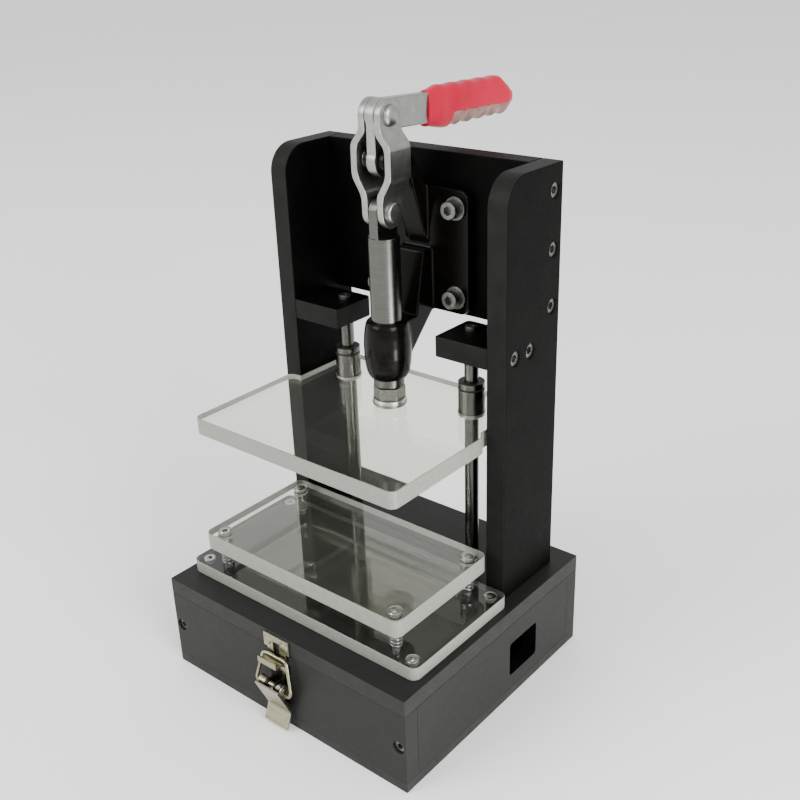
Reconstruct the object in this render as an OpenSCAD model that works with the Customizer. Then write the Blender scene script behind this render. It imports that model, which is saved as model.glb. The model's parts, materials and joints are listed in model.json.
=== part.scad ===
// Bench fixture for testing circuit boards: a hinged box, a gantry and a toggle clamp press.
// Origin at the centre of the underside of the box. X to the right, Y to the back, Z up.
// Modelled with the press raised and the handle swung to the back.

/* [Box] */
// Width of the box, left to right
base_w = 180; // [160:1:230]
// Depth of the box, front to back
base_d = 165; // [155:1:210]
// Height of the box with its lid closed
base_h = 60; // [52:1:90]
// Thickness of the lid plate
lid_t = 10; // [9:0.5:14]
// Thickness of the bottom plate
bottom_t = 6; // [4:0.5:9]
// Thickness of the four panels
panel_t = 10; // [9:0.5:13]
// Length of the cable slot in the right panel
slot_l = 27; // [12:1:40]
// Height of the cable slot
slot_h = 22; // [8:0.5:26]
// Corner radius of the cable slot
slot_r = 2; // [1:0.5:3.5]
// Width of the wiring window in the lid
window_w = 112; // [60:1:114]
// Depth of the wiring window in the lid
window_d = 52; // [30:1:54]

/* [Gantry] */
// Distance from the side of the box to the outer face of an upright
upright_inset = 9; // [6:0.5:14]
// Thickness of an upright
upright_t = 12; // [10:0.5:16]
// Depth of an upright, front to back
upright_d = 50; // [48:1:60]
// Distance from the back of the box to the back of the uprights
upright_back = 15.5; // [8:0.5:20]
// Radius of the front top corner of an upright
upright_r = 16; // [4:0.5:24]
// Height of the uprights above the top of the clamp flange
upright_over = 18; // [10:1:40]
// Thickness of the back plate
back_t = 13; // [10:0.5:15]
// Height of the back plate below the clamp flange
back_under = 2; // [0:0.5:4]

/* [Guide rods] */
// Diameter of a guide rod
rod_d = 8; // [6:0.5:10]
// Distance from an upright to the axis of a rod
rod_from_upright = 23; // [17:0.5:28]
// Distance from the front of an upright to the axis of a rod
rod_from_front = 18.5; // [14:0.5:20]
// Depth of the rod ends in the lid and in the blocks
rod_seat = 8; // [6:0.5:8.5]
// Free rod between a bearing and its block when the press is up
rod_free = 18; // [4:0.5:40]
// Height of a rod block
block_h = 12; // [11:0.5:16]
// Depth of a rod block, front to back
block_d = 30; // [28:0.5:32]
// Length of a rod block past the axis of its rod
block_past = 10.5; // [8:0.5:16]
// Outside diameter of a linear bearing
bearing_d = 15; // [13:0.5:18]
// Length of a linear bearing
bearing_l = 24; // [18:0.5:30]
// Depth of a bearing in the press plate
bearing_seat = 6; // [4:0.5:8]

/* [Plates] */
// Width of the press plate in front of the uprights
press_w = 145.5; // [120:0.5:156]
// Offset of the wide part of the press plate to the right
press_shift = -2.3; // [-4:0.1:4]
// Distance from the front of the box to the front of the press plate
press_front = 20; // [10:1:30]
// Thickness of the press plate
press_t = 10; // [9:0.5:12]
// Corner radius of the press plate
press_r = 4.5; // [2:0.5:12]
// Gap between the press plate and the uprights
press_gap = 2.2; // [1:0.1:4]
// Distance from the back of the uprights to the tail of the press plate
press_tail = 5.5; // [2:0.5:12]
// Opening between the carrier plate and the raised press plate
press_open = 62.5; // [55:0.5:90]
// Width of the carrier plate
carrier_w = 146; // [142:1:156]
// Depth of the carrier plate
carrier_d = 79.5; // [72:0.5:81]
// Thickness of the carrier plate
carrier_t = 10.5; // [8.5:0.5:12]
// Gap under the carrier plate when it is up
carrier_gap = 12; // [11.5:0.5:18]
// Spacing of the carrier bolts, left to right
bolt_w = 130; // [122:0.5:133]
// Spacing of the carrier bolts, front to back
bolt_d = 63; // [60:0.5:64]
// Width of the probe plate
probe_w = 171; // [162:1:174]
// Depth of the probe plate
probe_d = 83; // [82:1:84]
// Thickness of the probe plate
probe_t = 8; // [7.5:0.5:10]
// Gap from the probe plate to the uprights
probe_gap = 2; // [1:0.5:8]
// Inset of the probe plate screws from its edges
probe_inset = 7; // [6:0.5:8]
// Corner radius of the carrier and probe plates
plate_r = 4.5; // [2:0.5:8]

/* [Clamp] */
// Distance from the back plate to the axis of the plunger
clamp_reach = 34.5; // [33:0.5:36]
// Width and height of the clamp flange
flange_w = 70; // [66:1:80]
// Thickness of the clamp flange
flange_t = 6; // [5:0.5:8]
// Spacing of the flange screws, side to side
flange_screw_w = 54; // [50:1:54]
// Spacing of the flange screws, up and down
flange_screw_h = 50; // [44:1:54]
// Outside diameter of the barrel
barrel_d = 27; // [26:0.5:30]
// Height of the barrel
barrel_h = 34; // [28:0.5:44]
// Diameter of the plunger
plunger_d = 17.5; // [17:0.25:19]
// Distance from the handle pivot to the top link pin
crank_r = 23; // [22:0.5:23]
// Distance between the two pins of a link
link_l = 50; // [50:0.5:52]
// Width of a link
link_w = 17; // [15:0.5:17.5]
// Thickness of a link
link_t = 4; // [3:0.25:4.5]
// Half width of the link pair where it bows round the pivot, to its outer face
link_bow = 13.5; // [13.5:0.25:16]
// Thickness of the handle bar and of the plunger tang
bar_t = 6; // [5:0.25:6]
// Height of the handle arm
arm_h = 16; // [12:0.5:17]
// Droop of the handle arm towards its free end, in degrees
arm_droop = 2.9; // [0:0.1:5]
// Distance from the top link pin to the grip
grip_from_pin = 36.5; // [26:0.5:44]
// Length of the grip
grip_l = 77; // [60:1:100]
// Height of the grip
grip_h = 24; // [20:0.5:28]
// Width of the grip
grip_w = 15; // [12:0.5:20]
// Diameter of the foot under the plunger
foot_d = 19; // [16:0.5:22]

/* [Latch and hinges] */
// Width of the latch base plate
latch_w = 16; // [14:0.5:20]
// Diameter of the bail wire
bail_d = 2; // [1.6:0.1:2.2]
// Width of the bail at the keeper, between wire axes
bail_top = 18; // [17.5:0.5:20]
// Width of the bail at the lever, between wire axes
bail_low = 28; // [26:0.5:30]
// Width of the latch lever
lever_w = 18; // [17:0.5:19]
// Thickness of the sheet metal of the latch
sheet_t = 1.2; // [1:0.1:1.4]
// Distance from the middle of the box to the middle of a hinge
hinge_x = 50; // [30:1:60]
// Length of a hinge
hinge_l = 30; // [24:1:40]
// Diameter of a hinge pin
hinge_pin_d = 3; // [2.5:0.1:3.2]

/* [Fits] */
// Running clearance on the radius of rods, pins and the plunger
run_fit = 0.05; // [0.02:0.01:0.09]
// Clearance on the radius of a screw or a rivet in its hole
screw_fit = 0.1; // [0.05:0.05:0.2]
// Side gap between moving flat faces
side_gap = 0.3; // [0.3:0.05:0.5]

/* [Hidden] */
$fn = 48;
over = 1;

// Colours as the object shows them
board = [0.13, 0.13, 0.13];
casting = [0.06, 0.06, 0.065];
steel = [0.72, 0.72, 0.70];
zinc = [0.66, 0.67, 0.67];
nickel = [0.74, 0.71, 0.62];
clear = [0.86, 0.90, 0.86, 0.45];
red = [0.80, 0.12, 0.16];

// Screw sizes by thread
m3 = 3;
m4 = 4;
m5 = 5;
m6 = 6;
m25 = 2.5;
function cap_head(d) = 1.5 * d + 1;
function hex_key(d) = 0.8 * d;
function csk_head(d) = 2 * d;
// Across corners of a hexagon for one across flats
hex_corners = 1 / cos(30);
// Part of a head that is left under its socket
cap_floor = 0.45;
csk_floor = 0.3;

// Box
front_y = -base_d / 2;
back_y = base_d / 2;
seam_z = base_h - lid_t;
panel_h = seam_z - bottom_t;
panel_mid_z = bottom_t + panel_h / 2;
panel_screw_x = base_w / 2 - panel_t / 2;
// Depth of the sunk cap heads under the faces of the panels and uprights
head_sink = 1.5;
panel_thread_l = 16;
panel_screw_l = panel_t - m4 - head_sink + panel_thread_l;
bottom_thread_l = 12;
bottom_screw_l = bottom_t + bottom_thread_l;
bottom_screw_x = base_w / 3;
bottom_screw_y = base_d / 4;
slot_y = 25;
slot_lift = 9;
slot_z = bottom_t + slot_lift + slot_h / 2;

// Gantry
inner_x = base_w / 2 - upright_inset - upright_t;
upright_x = inner_x + upright_t / 2;
gantry_back = back_y - upright_back;
gantry_front = gantry_back - upright_d;
back_front = gantry_back - back_t;

// Plates, from the lid upwards
probe_y = gantry_front - probe_gap - probe_d / 2;
probe_top = base_h + probe_t;
carrier_z = probe_top + carrier_gap;
carrier_top = carrier_z + carrier_t;
press_z = carrier_top + press_open;
press_top = press_z + press_t;
press_rear = gantry_back - press_tail;
press_step = gantry_front - press_gap;
press_tail_w = 2 * (inner_x - press_gap);

// Rods and bearings
rod_x = inner_x - rod_from_upright;
rod_y = gantry_front + rod_from_front;
bearing_z = press_top - bearing_seat;
bearing_top = bearing_z + bearing_l;
block_z = bearing_top + rod_free;
block_top = block_z + block_h;
block_l = rod_from_upright + block_past;
block_edge_r = 3;
rod_bottom = base_h - rod_seat;
rod_top = block_z + rod_seat;
rod_screw_d = m4;
rod_screw_l = 10;
rod_screw_head = 2.2;
ring_w = 1.1;
ring_depth = 0.5;
ring_from_end = 3.25;
rod_hole_gap = 1;

// Clamp, from the press plate upwards
foot_h = 2.5;
// The foot stands in a pocket of the press plate, on the floor that is left
foot_floor = 3.5;
foot_sink = press_t - foot_floor;
nut_h = 7.2;
nut_gap = 0.8;
nut_flats = 16;
nut_turn = 37;
foot_round = 3;
foot_stud_d = 8;
foot_stud_l = 16;
foot_screw_d = m5;
foot_thread_l = 12;
foot_screw_l = foot_floor + foot_thread_l;
clamp_y = back_front - clamp_reach;
stroke = 2 * crank_r;
nut_z = press_top + foot_h;
plunger_z = nut_z + nut_h + nut_gap;
plunger_out = 4.5;
barrel_z = plunger_z + plunger_out;
barrel_top = barrel_z + barrel_h;
barrel_lip = 0.7;
barrel_tip_r = plunger_d / 2 + barrel_lip;
// Shape of the barrel: shares of its height, and of the way from its tip to its full radius
barrel_shape = [[0, 0], [0.024, 0.25], [0.074, 0.52], [0.147, 0.72], [0.265, 0.88], [0.412, 0.975],
    [0.588, 1], [0.765, 0.9], [0.912, 0.7], [0.97, 0.55], [1, 0.36]];
shoulder_clear = 1.5;
shoulder_z = barrel_top + stroke + shoulder_clear;
// Room for the link ends, which swing lower than the plunger follows half way
link_dip = 5;
tang_rise = link_w / 2 + link_dip;
tang_z = shoulder_z + tang_rise;
pin_z = tang_z + link_l;
pivot_z = pin_z - crank_r;
flange_z = barrel_top;
flange_top = flange_z + flange_w;
flange_mid_z = flange_z + flange_w / 2;
flange_front = back_front - flange_t;
flange_r = 6;
flange_thread_l = 10;
flange_screw_l = flange_t + flange_thread_l;
washer_d = 13;
washer_t = 1.6;
neck_w = 20;
neck_low = 3.6;
neck_back = 8;
arm_in = 2;
arm_web_in = 4;
ear_r = 6.5;
ear_in = bar_t / 2 + side_gap;
ear_t = 4;
ear_out = ear_in + ear_t;
ear_reach = 14;
link_in = bar_t / 2 + side_gap;
// Flat and sloping lengths of a link, at its lower and its upper end
link_flat = [9, 8];
link_slope = [10, 7];
rivet_d = 7;
rivet_head_d = 11;
rivet_head_h = 3;
pivot_d = 8;
pivot_head_d = 11;
pivot_head_h = 1;
bar_short = 8;
arm_l = grip_from_pin + grip_l - bar_short;
bar_end = 3;
crank_waist = 1;
grip_slot_gap = 0.1;
// Taper of the grip at the bar and at its free end: length, then depth
grip_nose = [12, 3];
grip_tail = [8, 7];
grip_pinch = 2;
grip_bevel = 4;
finger_n = 5;
finger_start = 18;
finger_pitch = 11;
finger_r = 10;
finger_cut = 1.6;

// Uprights and back plate end at the clamp flange
gantry_top = flange_top + upright_over;
upright_h = gantry_top - base_h;
back_z = flange_z - back_under;
back_h = gantry_top - back_z;
back_screw_y = gantry_back - back_t / 2;
back_screw_edge = 14;
back_screw_n = 3;
side_thread_l = 14;
side_screw_l = upright_t - m5 - head_sink + side_thread_l;
block_screw_from_front = 9.5;
block_screw_pitch = 14;
foot_fix_thread_l = 16;
foot_fix_l = lid_t + foot_fix_thread_l;
foot_fix_in = 12;
foot_fix_y = [gantry_front + foot_fix_in, gantry_back - foot_fix_in];

// Carrier
head_room = 0.4;
probe_thread_short = 3;
probe_thread_l = lid_t - probe_thread_short;
probe_screw_l = probe_t - m4 - head_room + probe_thread_l;
bolt_thread_l = 6.5;
bolt_seat_z = carrier_top - m4 - head_room;
bolt_l = bolt_seat_z - probe_top + bolt_thread_l;
bush_d = 8;
bush_seat = 3;
bush_out = 4.5;
spring_d = 7;
spring_wire = 0.8;
spring_turns = 3;
spring_end_gap = 0.1;

// Latch, measured as distance p in front of the box and height z
keeper_t = 1.5;
keeper_relief = 0.4;
keeper_lift = 0.3;
keeper_short = 1.5;
keeper_side = 0.5;
keeper_slot_w = 4.5;
keeper_slot_h = 5;
keeper_h = lid_t - keeper_short;
keeper_w = bail_top + 2 * keeper_side;
keeper_rivet_z = seam_z + lid_t * 0.45;
lever_out = 6.5;
lever_drop = 20;
lever_pivot = [lever_out, seam_z - lever_drop];
lever_top_from = [4.7, 1];
lever_bend_from = [-4, -18.5];
lever_l = 28;
lever_top = lever_pivot + lever_top_from;
lever_bend = lever_pivot + lever_bend_from;
lever_tip = lever_pivot - [0, lever_l];
cheek_r = 2.9;
cheek_low_from = [1.9, -2];
roll_d = 5.4;
cheek_x = lever_w / 2 - sheet_t / 2;
bail_pivot_from = [-0.5, -3.5];
bail_pivot = lever_pivot + bail_pivot_from;
bail_gap = 0.5;
bail_drop = 3;
bail_bar = [keeper_t + bail_gap + bail_d / 2, seam_z - bail_drop];
bend_swell = 0.03;
hook_side = 1;
hook_gap = 0.3;
hook_over = 1.2;
hook_room = 4.2;
hook_w = bail_top - bail_d - 2 * hook_side;
hook_floor = bail_bar[1] - bail_d / 2 - hook_gap;
hook_lip = bail_bar[1] + hook_over;
hook_lip_p = bail_bar[0] + bail_d / 2 + hook_room;
latch_pin_d = 3;
latch_pin_end = 0.4;
latch_ear_x = 3;
latch_ear_wall = 1.1;
latch_ear_r = latch_pin_d / 2 + latch_ear_wall;
latch_drop = 7.5;
latch_h = 26.5;
latch_plate_high = seam_z - latch_drop;
latch_plate_low = latch_plate_high - latch_h;
latch_rivet_d = m3;
latch_rivet_head_d = 1.8 * latch_rivet_d;
latch_rivet_h = 0.8;
latch_rivet_l = 6;
latch_rivet_in = [5, 4];
latch_rivet_side = 3.2;
latch_rivet_z = [latch_plate_low + latch_rivet_in[0], latch_plate_high - latch_rivet_in[1]];
coil_wire = 0.8;
coil_turns = 3;
coil_gap = 0.3;
coil_open = 0.12;
coil_l = coil_turns * (coil_wire + coil_open) + coil_wire;
coil_d = latch_pin_d + 2 * coil_gap + 2 * coil_wire;
coil_x = latch_ear_x + sheet_t / 2 + coil_gap;

// Hinges
knuckle_d = 2 * hinge_pin_d;
knuckle_gap = 0.4;
hinge_y = back_y + knuckle_gap + knuckle_d / 2;
leaf_t = 1.5;
leaf_gap = 0.3;
leaf_clear = knuckle_d / 2 + leaf_gap;
knuckle_l = hinge_l / 3;
lid_leaf_short = 1;
lid_leaf_h = lid_t - lid_leaf_short;
base_leaf_h = 20;
base_leaf_screw = 13;
lid_leaf_screw = (leaf_clear + lid_leaf_h) / 2;
hinge_screw_l = 8;

// Points of a bent strip of sheet of thickness t, along a list of 2-D points
function unit(v) = v / norm(v);
function left_of(v) = [-v[1], v[0]];
function strip_dir(p, i) = i == 0 ? unit(p[1] - p[0])
    : i == len(p) - 1 ? unit(p[i] - p[i - 1])
    : unit(unit(p[i] - p[i - 1]) + unit(p[i + 1] - p[i]));
function strip_mitre(p, i) = i == 0 || i == len(p) - 1 ? 1
    : 1 / (unit(p[i] - p[i - 1]) * strip_dir(p, i));
function strip_side(p, t, i) = p[i] + left_of(strip_dir(p, i)) * t / 2 * strip_mitre(p, i);
function strip(p, t) = concat([for (i = [0:len(p) - 1]) strip_side(p, t, i)],
    [for (i = [len(p) - 1:-1:0]) strip_side(p, -t, i)]);

// Draws a Y-Z outline, from x0 to x1
module along_x(x0, x1) {
    translate([x0, 0, 0]) rotate([90, 0, 90]) linear_extrude(x1 - x0) children();
}

// Draws an X-Z outline, from y0 back to y1
module along_y(y0, y1) {
    translate([0, y1, 0]) rotate([90, 0, 0]) linear_extrude(y1 - y0) children();
}

// Rectangle with round corners, centred
module round_rect(w, h, r) {
    square([w - 2 * r, h], center = true);
    square([w, h - 2 * r], center = true);
    for (sx = [-1, 1], sy = [-1, 1])
        translate([sx * (w / 2 - r), sy * (h / 2 - r)]) circle(r);
}

module mirrored_x() {
    for (s = [0, 1]) mirror([s, 0, 0]) children();
}

// Socket head cap screw, head up on z = 0. Grown by cut it is the tool for its own hole.
module cap_screw(d, l, cut = 0, head_h = undef) {
    h = is_undef(head_h) ? d : head_h;
    way_in = 4 * d;
    difference() {
        union() {
            translate([0, 0, -l - cut]) cylinder(d = d + 2 * cut, h = l + cut + h / 2);
            cylinder(d = cap_head(d) + 2 * cut, h = h + (cut > 0 ? way_in : 0));
        }
        if (cut == 0) translate([0, 0, h * cap_floor])
            cylinder(d = hex_key(d) * hex_corners, h = h, $fn = 6);
    }
}

// Cap screw in a counterbore of the face at z = 0
module sunk_cap_screw(d, l, cut = 0) {
    translate([0, 0, -d - head_sink]) cap_screw(d, l, cut);
}

// Countersunk screw, head flush with z = 0. Grown by cut it is the tool for its own hole.
module csk_screw(d, l, cut = 0) {
    head_r = csk_head(d) / 2;
    cone_h = head_r - d / 2;
    difference() {
        union() {
            translate([0, 0, -l - cut]) cylinder(d = d + 2 * cut, h = l + cut);
            translate([0, 0, -cone_h]) cylinder(r1 = d / 2 + cut, r2 = head_r + cut, h = cone_h);
            if (cut > 0) cylinder(r = head_r + cut, h = over);
        }
        if (cut == 0) translate([0, 0, -cone_h * (1 - csk_floor)])
            cylinder(d = hex_key(d), h = cone_h, $fn = 6);
    }
}

// Rivet head on z = 0, domed upwards
module dome(d, h) {
    sphere_r = (d * d / 4 + h * h) / (2 * h);
    intersection() {
        translate([0, 0, h - sphere_r]) sphere(sphere_r);
        cylinder(d = d, h = h);
    }
}

// Round wire through a list of points, a little thicker at its bends
module wire(points, d) {
    for (i = [0:len(points) - 2]) {
        v = points[i + 1] - points[i];
        translate(points[i])
            rotate([0, acos(v[2] / norm(v)), atan2(v[1], v[0])]) cylinder(d = d, h = norm(v));
    }
    for (i = [1:len(points) - 2]) translate(points[i]) sphere(d = d + 2 * bend_swell);
}

// Coil of round wire on the Z axis, d across outside, from z = 0 to z = l
module coil(d, wire_d, l, turns) {
    sides = 8;
    per_turn = 14;
    n = turns * per_turn;
    r = (d - wire_d) / 2;
    rise = l - wire_d;
    points = [for (i = [0:n], j = [0:sides - 1])
        let (a = 360 * i / per_turn, b = 360 * j / sides, q = r + wire_d / 2 * cos(b))
        [q * cos(a), q * sin(a), wire_d / 2 + rise * i / n + wire_d / 2 * sin(b)]];
    skin = [for (i = [0:n - 1], j = [0:sides - 1])
        let (k = (j + 1) % sides)
        each [[i * sides + j, i * sides + k, (i + 1) * sides + k],
              [i * sides + j, (i + 1) * sides + k, (i + 1) * sides + j]]];
    ends = [[for (j = [sides - 1:-1:0]) j], [for (j = [0:sides - 1]) n * sides + j]];
    polyhedron(points, concat(skin, ends), convexity = 4);
}

// Screws of the box
module panel_screw_set(cut = 0) {
    for (s = [-1, 1]) mirrored_x()
        translate([panel_screw_x, s * base_d / 2, panel_mid_z])
            rotate([-90 * s, 0, 0]) sunk_cap_screw(m4, panel_screw_l, cut);
}

module bottom_screw_set(cut = 0) {
    for (sy = [-1, 1]) mirrored_x() {
        translate([bottom_screw_x, sy * (base_d - panel_t) / 2, 0])
            rotate([180, 0, 0]) csk_screw(m4, bottom_screw_l, cut);
        translate([(base_w - panel_t) / 2, sy * bottom_screw_y, 0])
            rotate([180, 0, 0]) csk_screw(m4, bottom_screw_l, cut);
    }
}

module panel_screws() { color(steel) panel_screw_set(); }

module bottom_screws() { color(steel) bottom_screw_set(); }

module bottom_plate() {
    color(board) difference() {
        translate([-base_w / 2, front_y, 0]) cube([base_w, base_d, bottom_t]);
        bottom_screw_set(screw_fit);
    }
}

module box_end(y0) {
    difference() {
        translate([-base_w / 2, y0, bottom_t]) cube([base_w, panel_t, panel_h]);
        panel_screw_set(screw_fit);
        bottom_screw_set(screw_fit);
        latch_rivet_set(screw_fit);
        hinge_screw_set(screw_fit);
    }
}

module front_panel() { color(board) box_end(front_y); }

module rear_panel() { color(board) box_end(back_y - panel_t); }

module box_side(x0) {
    difference() {
        translate([x0, front_y + panel_t, bottom_t]) cube([panel_t, base_d - 2 * panel_t, panel_h]);
        panel_screw_set(screw_fit);
        bottom_screw_set(screw_fit);
    }
}

module left_panel() { color(board) box_side(-base_w / 2); }

module right_panel() {
    x0 = base_w / 2 - panel_t;
    color(board) difference() {
        box_side(x0);
        along_x(x0 - over, base_w / 2 + over)
            translate([slot_y, slot_z]) round_rect(slot_l, slot_h, slot_r);
    }
}

// Hinges at the back of the box
module hinge_screw_set(cut = 0) {
    mirrored_x() for (sx = [-1, 1])
        translate([hinge_x + sx * hinge_l / 3, back_y + leaf_t, seam_z - base_leaf_screw])
            rotate([-90, 0, 0]) csk_screw(m3, hinge_screw_l, cut);
}

module hinge_lid_screw_set(cut = 0) {
    mirrored_x() for (sx = [-1, 1])
        translate([hinge_x + sx * hinge_l / 3, back_y + leaf_t, seam_z + lid_leaf_screw])
            rotate([-90, 0, 0]) csk_screw(m25, hinge_screw_l, cut);
}

module knuckle(x0, l) {
    along_x(x0, x0 + l) translate([hinge_y, seam_z]) circle(d = knuckle_d);
}

module knuckle_bore(fit) {
    along_x(0, base_w / 2) translate([hinge_y, seam_z]) circle(d = hinge_pin_d + 2 * fit);
}

module leaf(x0, l, z0, z1) {
    translate([x0, back_y, z0]) cube([l, leaf_t, z1 - z0]);
}

// A lug joins a leaf to its knuckle
module lug(x0, l, z0, z1) {
    y0 = back_y + knuckle_gap;
    translate([x0, y0, z0]) cube([l, hinge_y - y0, z1 - z0]);
}

module hinge_base_leaves() {
    x0 = hinge_x - hinge_l / 2;
    clear_z = seam_z - leaf_clear;
    color(zinc) mirrored_x() difference() {
        union() {
            leaf(x0, hinge_l, seam_z - base_leaf_h, clear_z);
            for (x = [x0, x0 + 2 * knuckle_l]) {
                knuckle(x, knuckle_l - leaf_gap / 2);
                leaf(x, knuckle_l - leaf_gap / 2, clear_z - over, seam_z - leaf_gap);
                lug(x, knuckle_l - leaf_gap / 2, seam_z - knuckle_d / 2, seam_z - leaf_gap);
            }
        }
        knuckle_bore(screw_fit);
        hinge_screw_set(screw_fit);
    }
}

module hinge_lid_leaves() {
    x0 = hinge_x - hinge_l / 2;
    xk = x0 + knuckle_l + leaf_gap / 2;
    lk = knuckle_l - 1.5 * leaf_gap;
    clear_z = seam_z + leaf_clear;
    color(zinc) mirrored_x() difference() {
        union() {
            leaf(x0, hinge_l, clear_z, seam_z + lid_leaf_h);
            knuckle(xk, lk);
            leaf(xk, lk, seam_z + leaf_gap, clear_z + over);
            lug(xk, lk, seam_z + leaf_gap, seam_z + knuckle_d / 2);
        }
        knuckle_bore(run_fit);
        hinge_lid_screw_set(screw_fit);
    }
}

module hinge_pins() {
    color(steel) mirrored_x()
        along_x(hinge_x - hinge_l / 2, hinge_x + hinge_l / 2 - leaf_gap / 2)
            translate([hinge_y, seam_z]) circle(d = hinge_pin_d);
}

module hinge_base_screws() { color(steel) hinge_screw_set(); }

module hinge_lid_screws() { color(steel) hinge_lid_screw_set(); }

// Latch. Its outlines are drawn as [p, z] and turned to lie in front of the box.
module latch_x(x0, x1) {
    translate([x1, front_y, 0]) rotate([90, 0, -90]) linear_extrude(x1 - x0) children();
}

module latch_rod(pos, x0, x1, d) {
    latch_x(x0, x1) translate(pos) circle(d = d);
}

// Rivet through sheet of thickness t, head up on z = 0. Grown by cut it is the tool for its own hole.
module sheet_rivet(t, cut = 0) {
    depth = t + latch_rivet_l + cut;
    translate([0, 0, -depth]) cylinder(d = latch_rivet_d + 2 * cut, h = depth + (cut > 0 ? over : 0));
    if (cut == 0) dome(latch_rivet_head_d, latch_rivet_h);
}

module latch_rivet_set(cut = 0) {
    for (z = latch_rivet_z, sx = [-1, 1])
        translate([sx * (latch_w / 2 - latch_rivet_side), front_y - sheet_t, z])
            rotate([90, 0, 0]) sheet_rivet(sheet_t, cut);
}

module latch_rivets() { color(nickel) latch_rivet_set(); }

module latch_plate() {
    color(nickel) difference() {
        union() {
            latch_x(-latch_w / 2, latch_w / 2)
                translate([0, latch_plate_low]) square([sheet_t, latch_plate_high - latch_plate_low]);
            for (s = [-1, 1]) latch_x(s * latch_ear_x - sheet_t / 2, s * latch_ear_x + sheet_t / 2) {
                translate(lever_pivot) circle(latch_ear_r);
                translate([sheet_t / 2, lever_pivot[1] - latch_ear_r])
                    square([lever_pivot[0] - sheet_t / 2, 2 * latch_ear_r]);
            }
        }
        latch_rod(lever_pivot, -latch_w, latch_w, latch_pin_d + 2 * screw_fit);
        latch_rivet_set(screw_fit);
    }
}

module latch_pin() {
    half = lever_w / 2 + latch_pin_end;
    color(nickel) latch_rod(lever_pivot, -half, half, latch_pin_d);
}

module latch_spring() {
    color(steel) translate([coil_x, front_y - lever_pivot[0], lever_pivot[1]]) rotate([0, 90, 0])
        coil(coil_d, coil_wire, coil_l, coil_turns);
}

module latch_lever() {
    cheek_low = bail_pivot + cheek_low_from;
    color(nickel) difference() {
        union() {
            latch_x(-lever_w / 2, lever_w / 2)
                polygon(strip([lever_top, lever_bend, lever_tip], sheet_t));
            for (s = [-1, 1]) latch_x(s * cheek_x - sheet_t / 2, s * cheek_x + sheet_t / 2) {
                translate(lever_pivot) circle(cheek_r);
                translate(bail_pivot) circle(cheek_r);
                polygon([lever_pivot + [-cheek_r, 0], bail_pivot + [-cheek_r, 0], cheek_low, lever_top]);
            }
            latch_rod(lever_pivot, -cheek_x, -coil_x, roll_d);
        }
        latch_rod(lever_pivot, -latch_w, latch_w, latch_pin_d + 2 * run_fit);
        latch_rod(bail_pivot, -latch_w, latch_w, bail_d + 2 * run_fit);
    }
}

module latch_bail() {
    in_x = cheek_x - sheet_t / 2;
    function place(x, pz) = [x, front_y - pz[0], pz[1]];
    color(nickel) wire([place(-in_x, bail_pivot), place(-bail_low / 2, bail_pivot),
        place(-bail_top / 2, bail_bar), place(bail_top / 2, bail_bar),
        place(bail_low / 2, bail_pivot), place(in_x, bail_pivot)], bail_d);
}

module keeper_rivet_set(cut = 0) {
    for (s = [-1, 1])
        translate([s * keeper_w / 3, front_y - keeper_t, keeper_rivet_z])
            rotate([90, 0, 0]) sheet_rivet(keeper_t, cut);
}

module keeper_rivets() { color(nickel) keeper_rivet_set(); }

module keeper() {
    color(nickel) difference() {
        union() {
            latch_x(-keeper_w / 2, keeper_w / 2)
                translate([0, seam_z + keeper_lift]) square([keeper_t, keeper_h]);
            latch_x(-hook_w / 2, hook_w / 2) {
                translate([keeper_relief, hook_floor - sheet_t])
                    square([keeper_t - keeper_relief, seam_z + over - hook_floor + sheet_t]);
                translate([keeper_relief, hook_floor - sheet_t])
                    square([hook_lip_p + sheet_t - keeper_relief, sheet_t]);
                translate([hook_lip_p, hook_floor - sheet_t])
                    square([sheet_t, hook_lip - hook_floor + sheet_t]);
            }
        }
        latch_x(-keeper_slot_w / 2, keeper_slot_w / 2) translate([-over, hook_floor])
            square([keeper_t + 2 * over, seam_z + keeper_slot_h - hook_floor]);
        keeper_rivet_set(screw_fit);
    }
}

// Lid and gantry
module probe_screw_set(cut = 0) {
    for (sx = [-1, 1], sy = [-1, 1])
        translate([sx * (probe_w / 2 - probe_inset), probe_y + sy * (probe_d / 2 - probe_inset),
            probe_top - m4 - head_room]) cap_screw(m4, probe_screw_l, cut);
}

module probe_screws() { color(steel) probe_screw_set(); }

module upright_screw_set(cut = 0) {
    mirrored_x() for (y = foot_fix_y)
        translate([upright_x, y, seam_z]) rotate([180, 0, 0]) csk_screw(m5, foot_fix_l, cut);
}

module upright_screws() { color(steel) upright_screw_set(); }

module lid_plate() {
    color(board) difference() {
        translate([-base_w / 2, front_y, seam_z]) cube([base_w, base_d, lid_t]);
        translate([-window_w / 2, probe_y - window_d / 2, seam_z - over])
            cube([window_w, window_d, lid_t + 2 * over]);
        mirrored_x() translate([rod_x, rod_y, rod_bottom])
            cylinder(d = rod_d + 2 * screw_fit, h = rod_seat + over);
        probe_screw_set(screw_fit);
        upright_screw_set(screw_fit);
        keeper_rivet_set(screw_fit);
        hinge_lid_screw_set(screw_fit);
    }
}

module probe_plate() {
    color(clear) difference() {
        translate([0, probe_y, base_h]) linear_extrude(probe_t) round_rect(probe_w, probe_d, plate_r);
        probe_screw_set(screw_fit);
        carrier_bolt_set(screw_fit);
    }
}

// Screws through the uprights, seen from the sides
module back_screw_set(cut = 0) {
    pitch = (back_h - 2 * back_screw_edge) / (back_screw_n - 1);
    mirrored_x() for (i = [0:back_screw_n - 1])
        translate([inner_x + upright_t, back_screw_y, back_z + back_screw_edge + i * pitch])
            rotate([0, 90, 0]) sunk_cap_screw(m5, side_screw_l, cut);
}

module back_plate_screws() { color(steel) back_screw_set(); }

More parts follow.
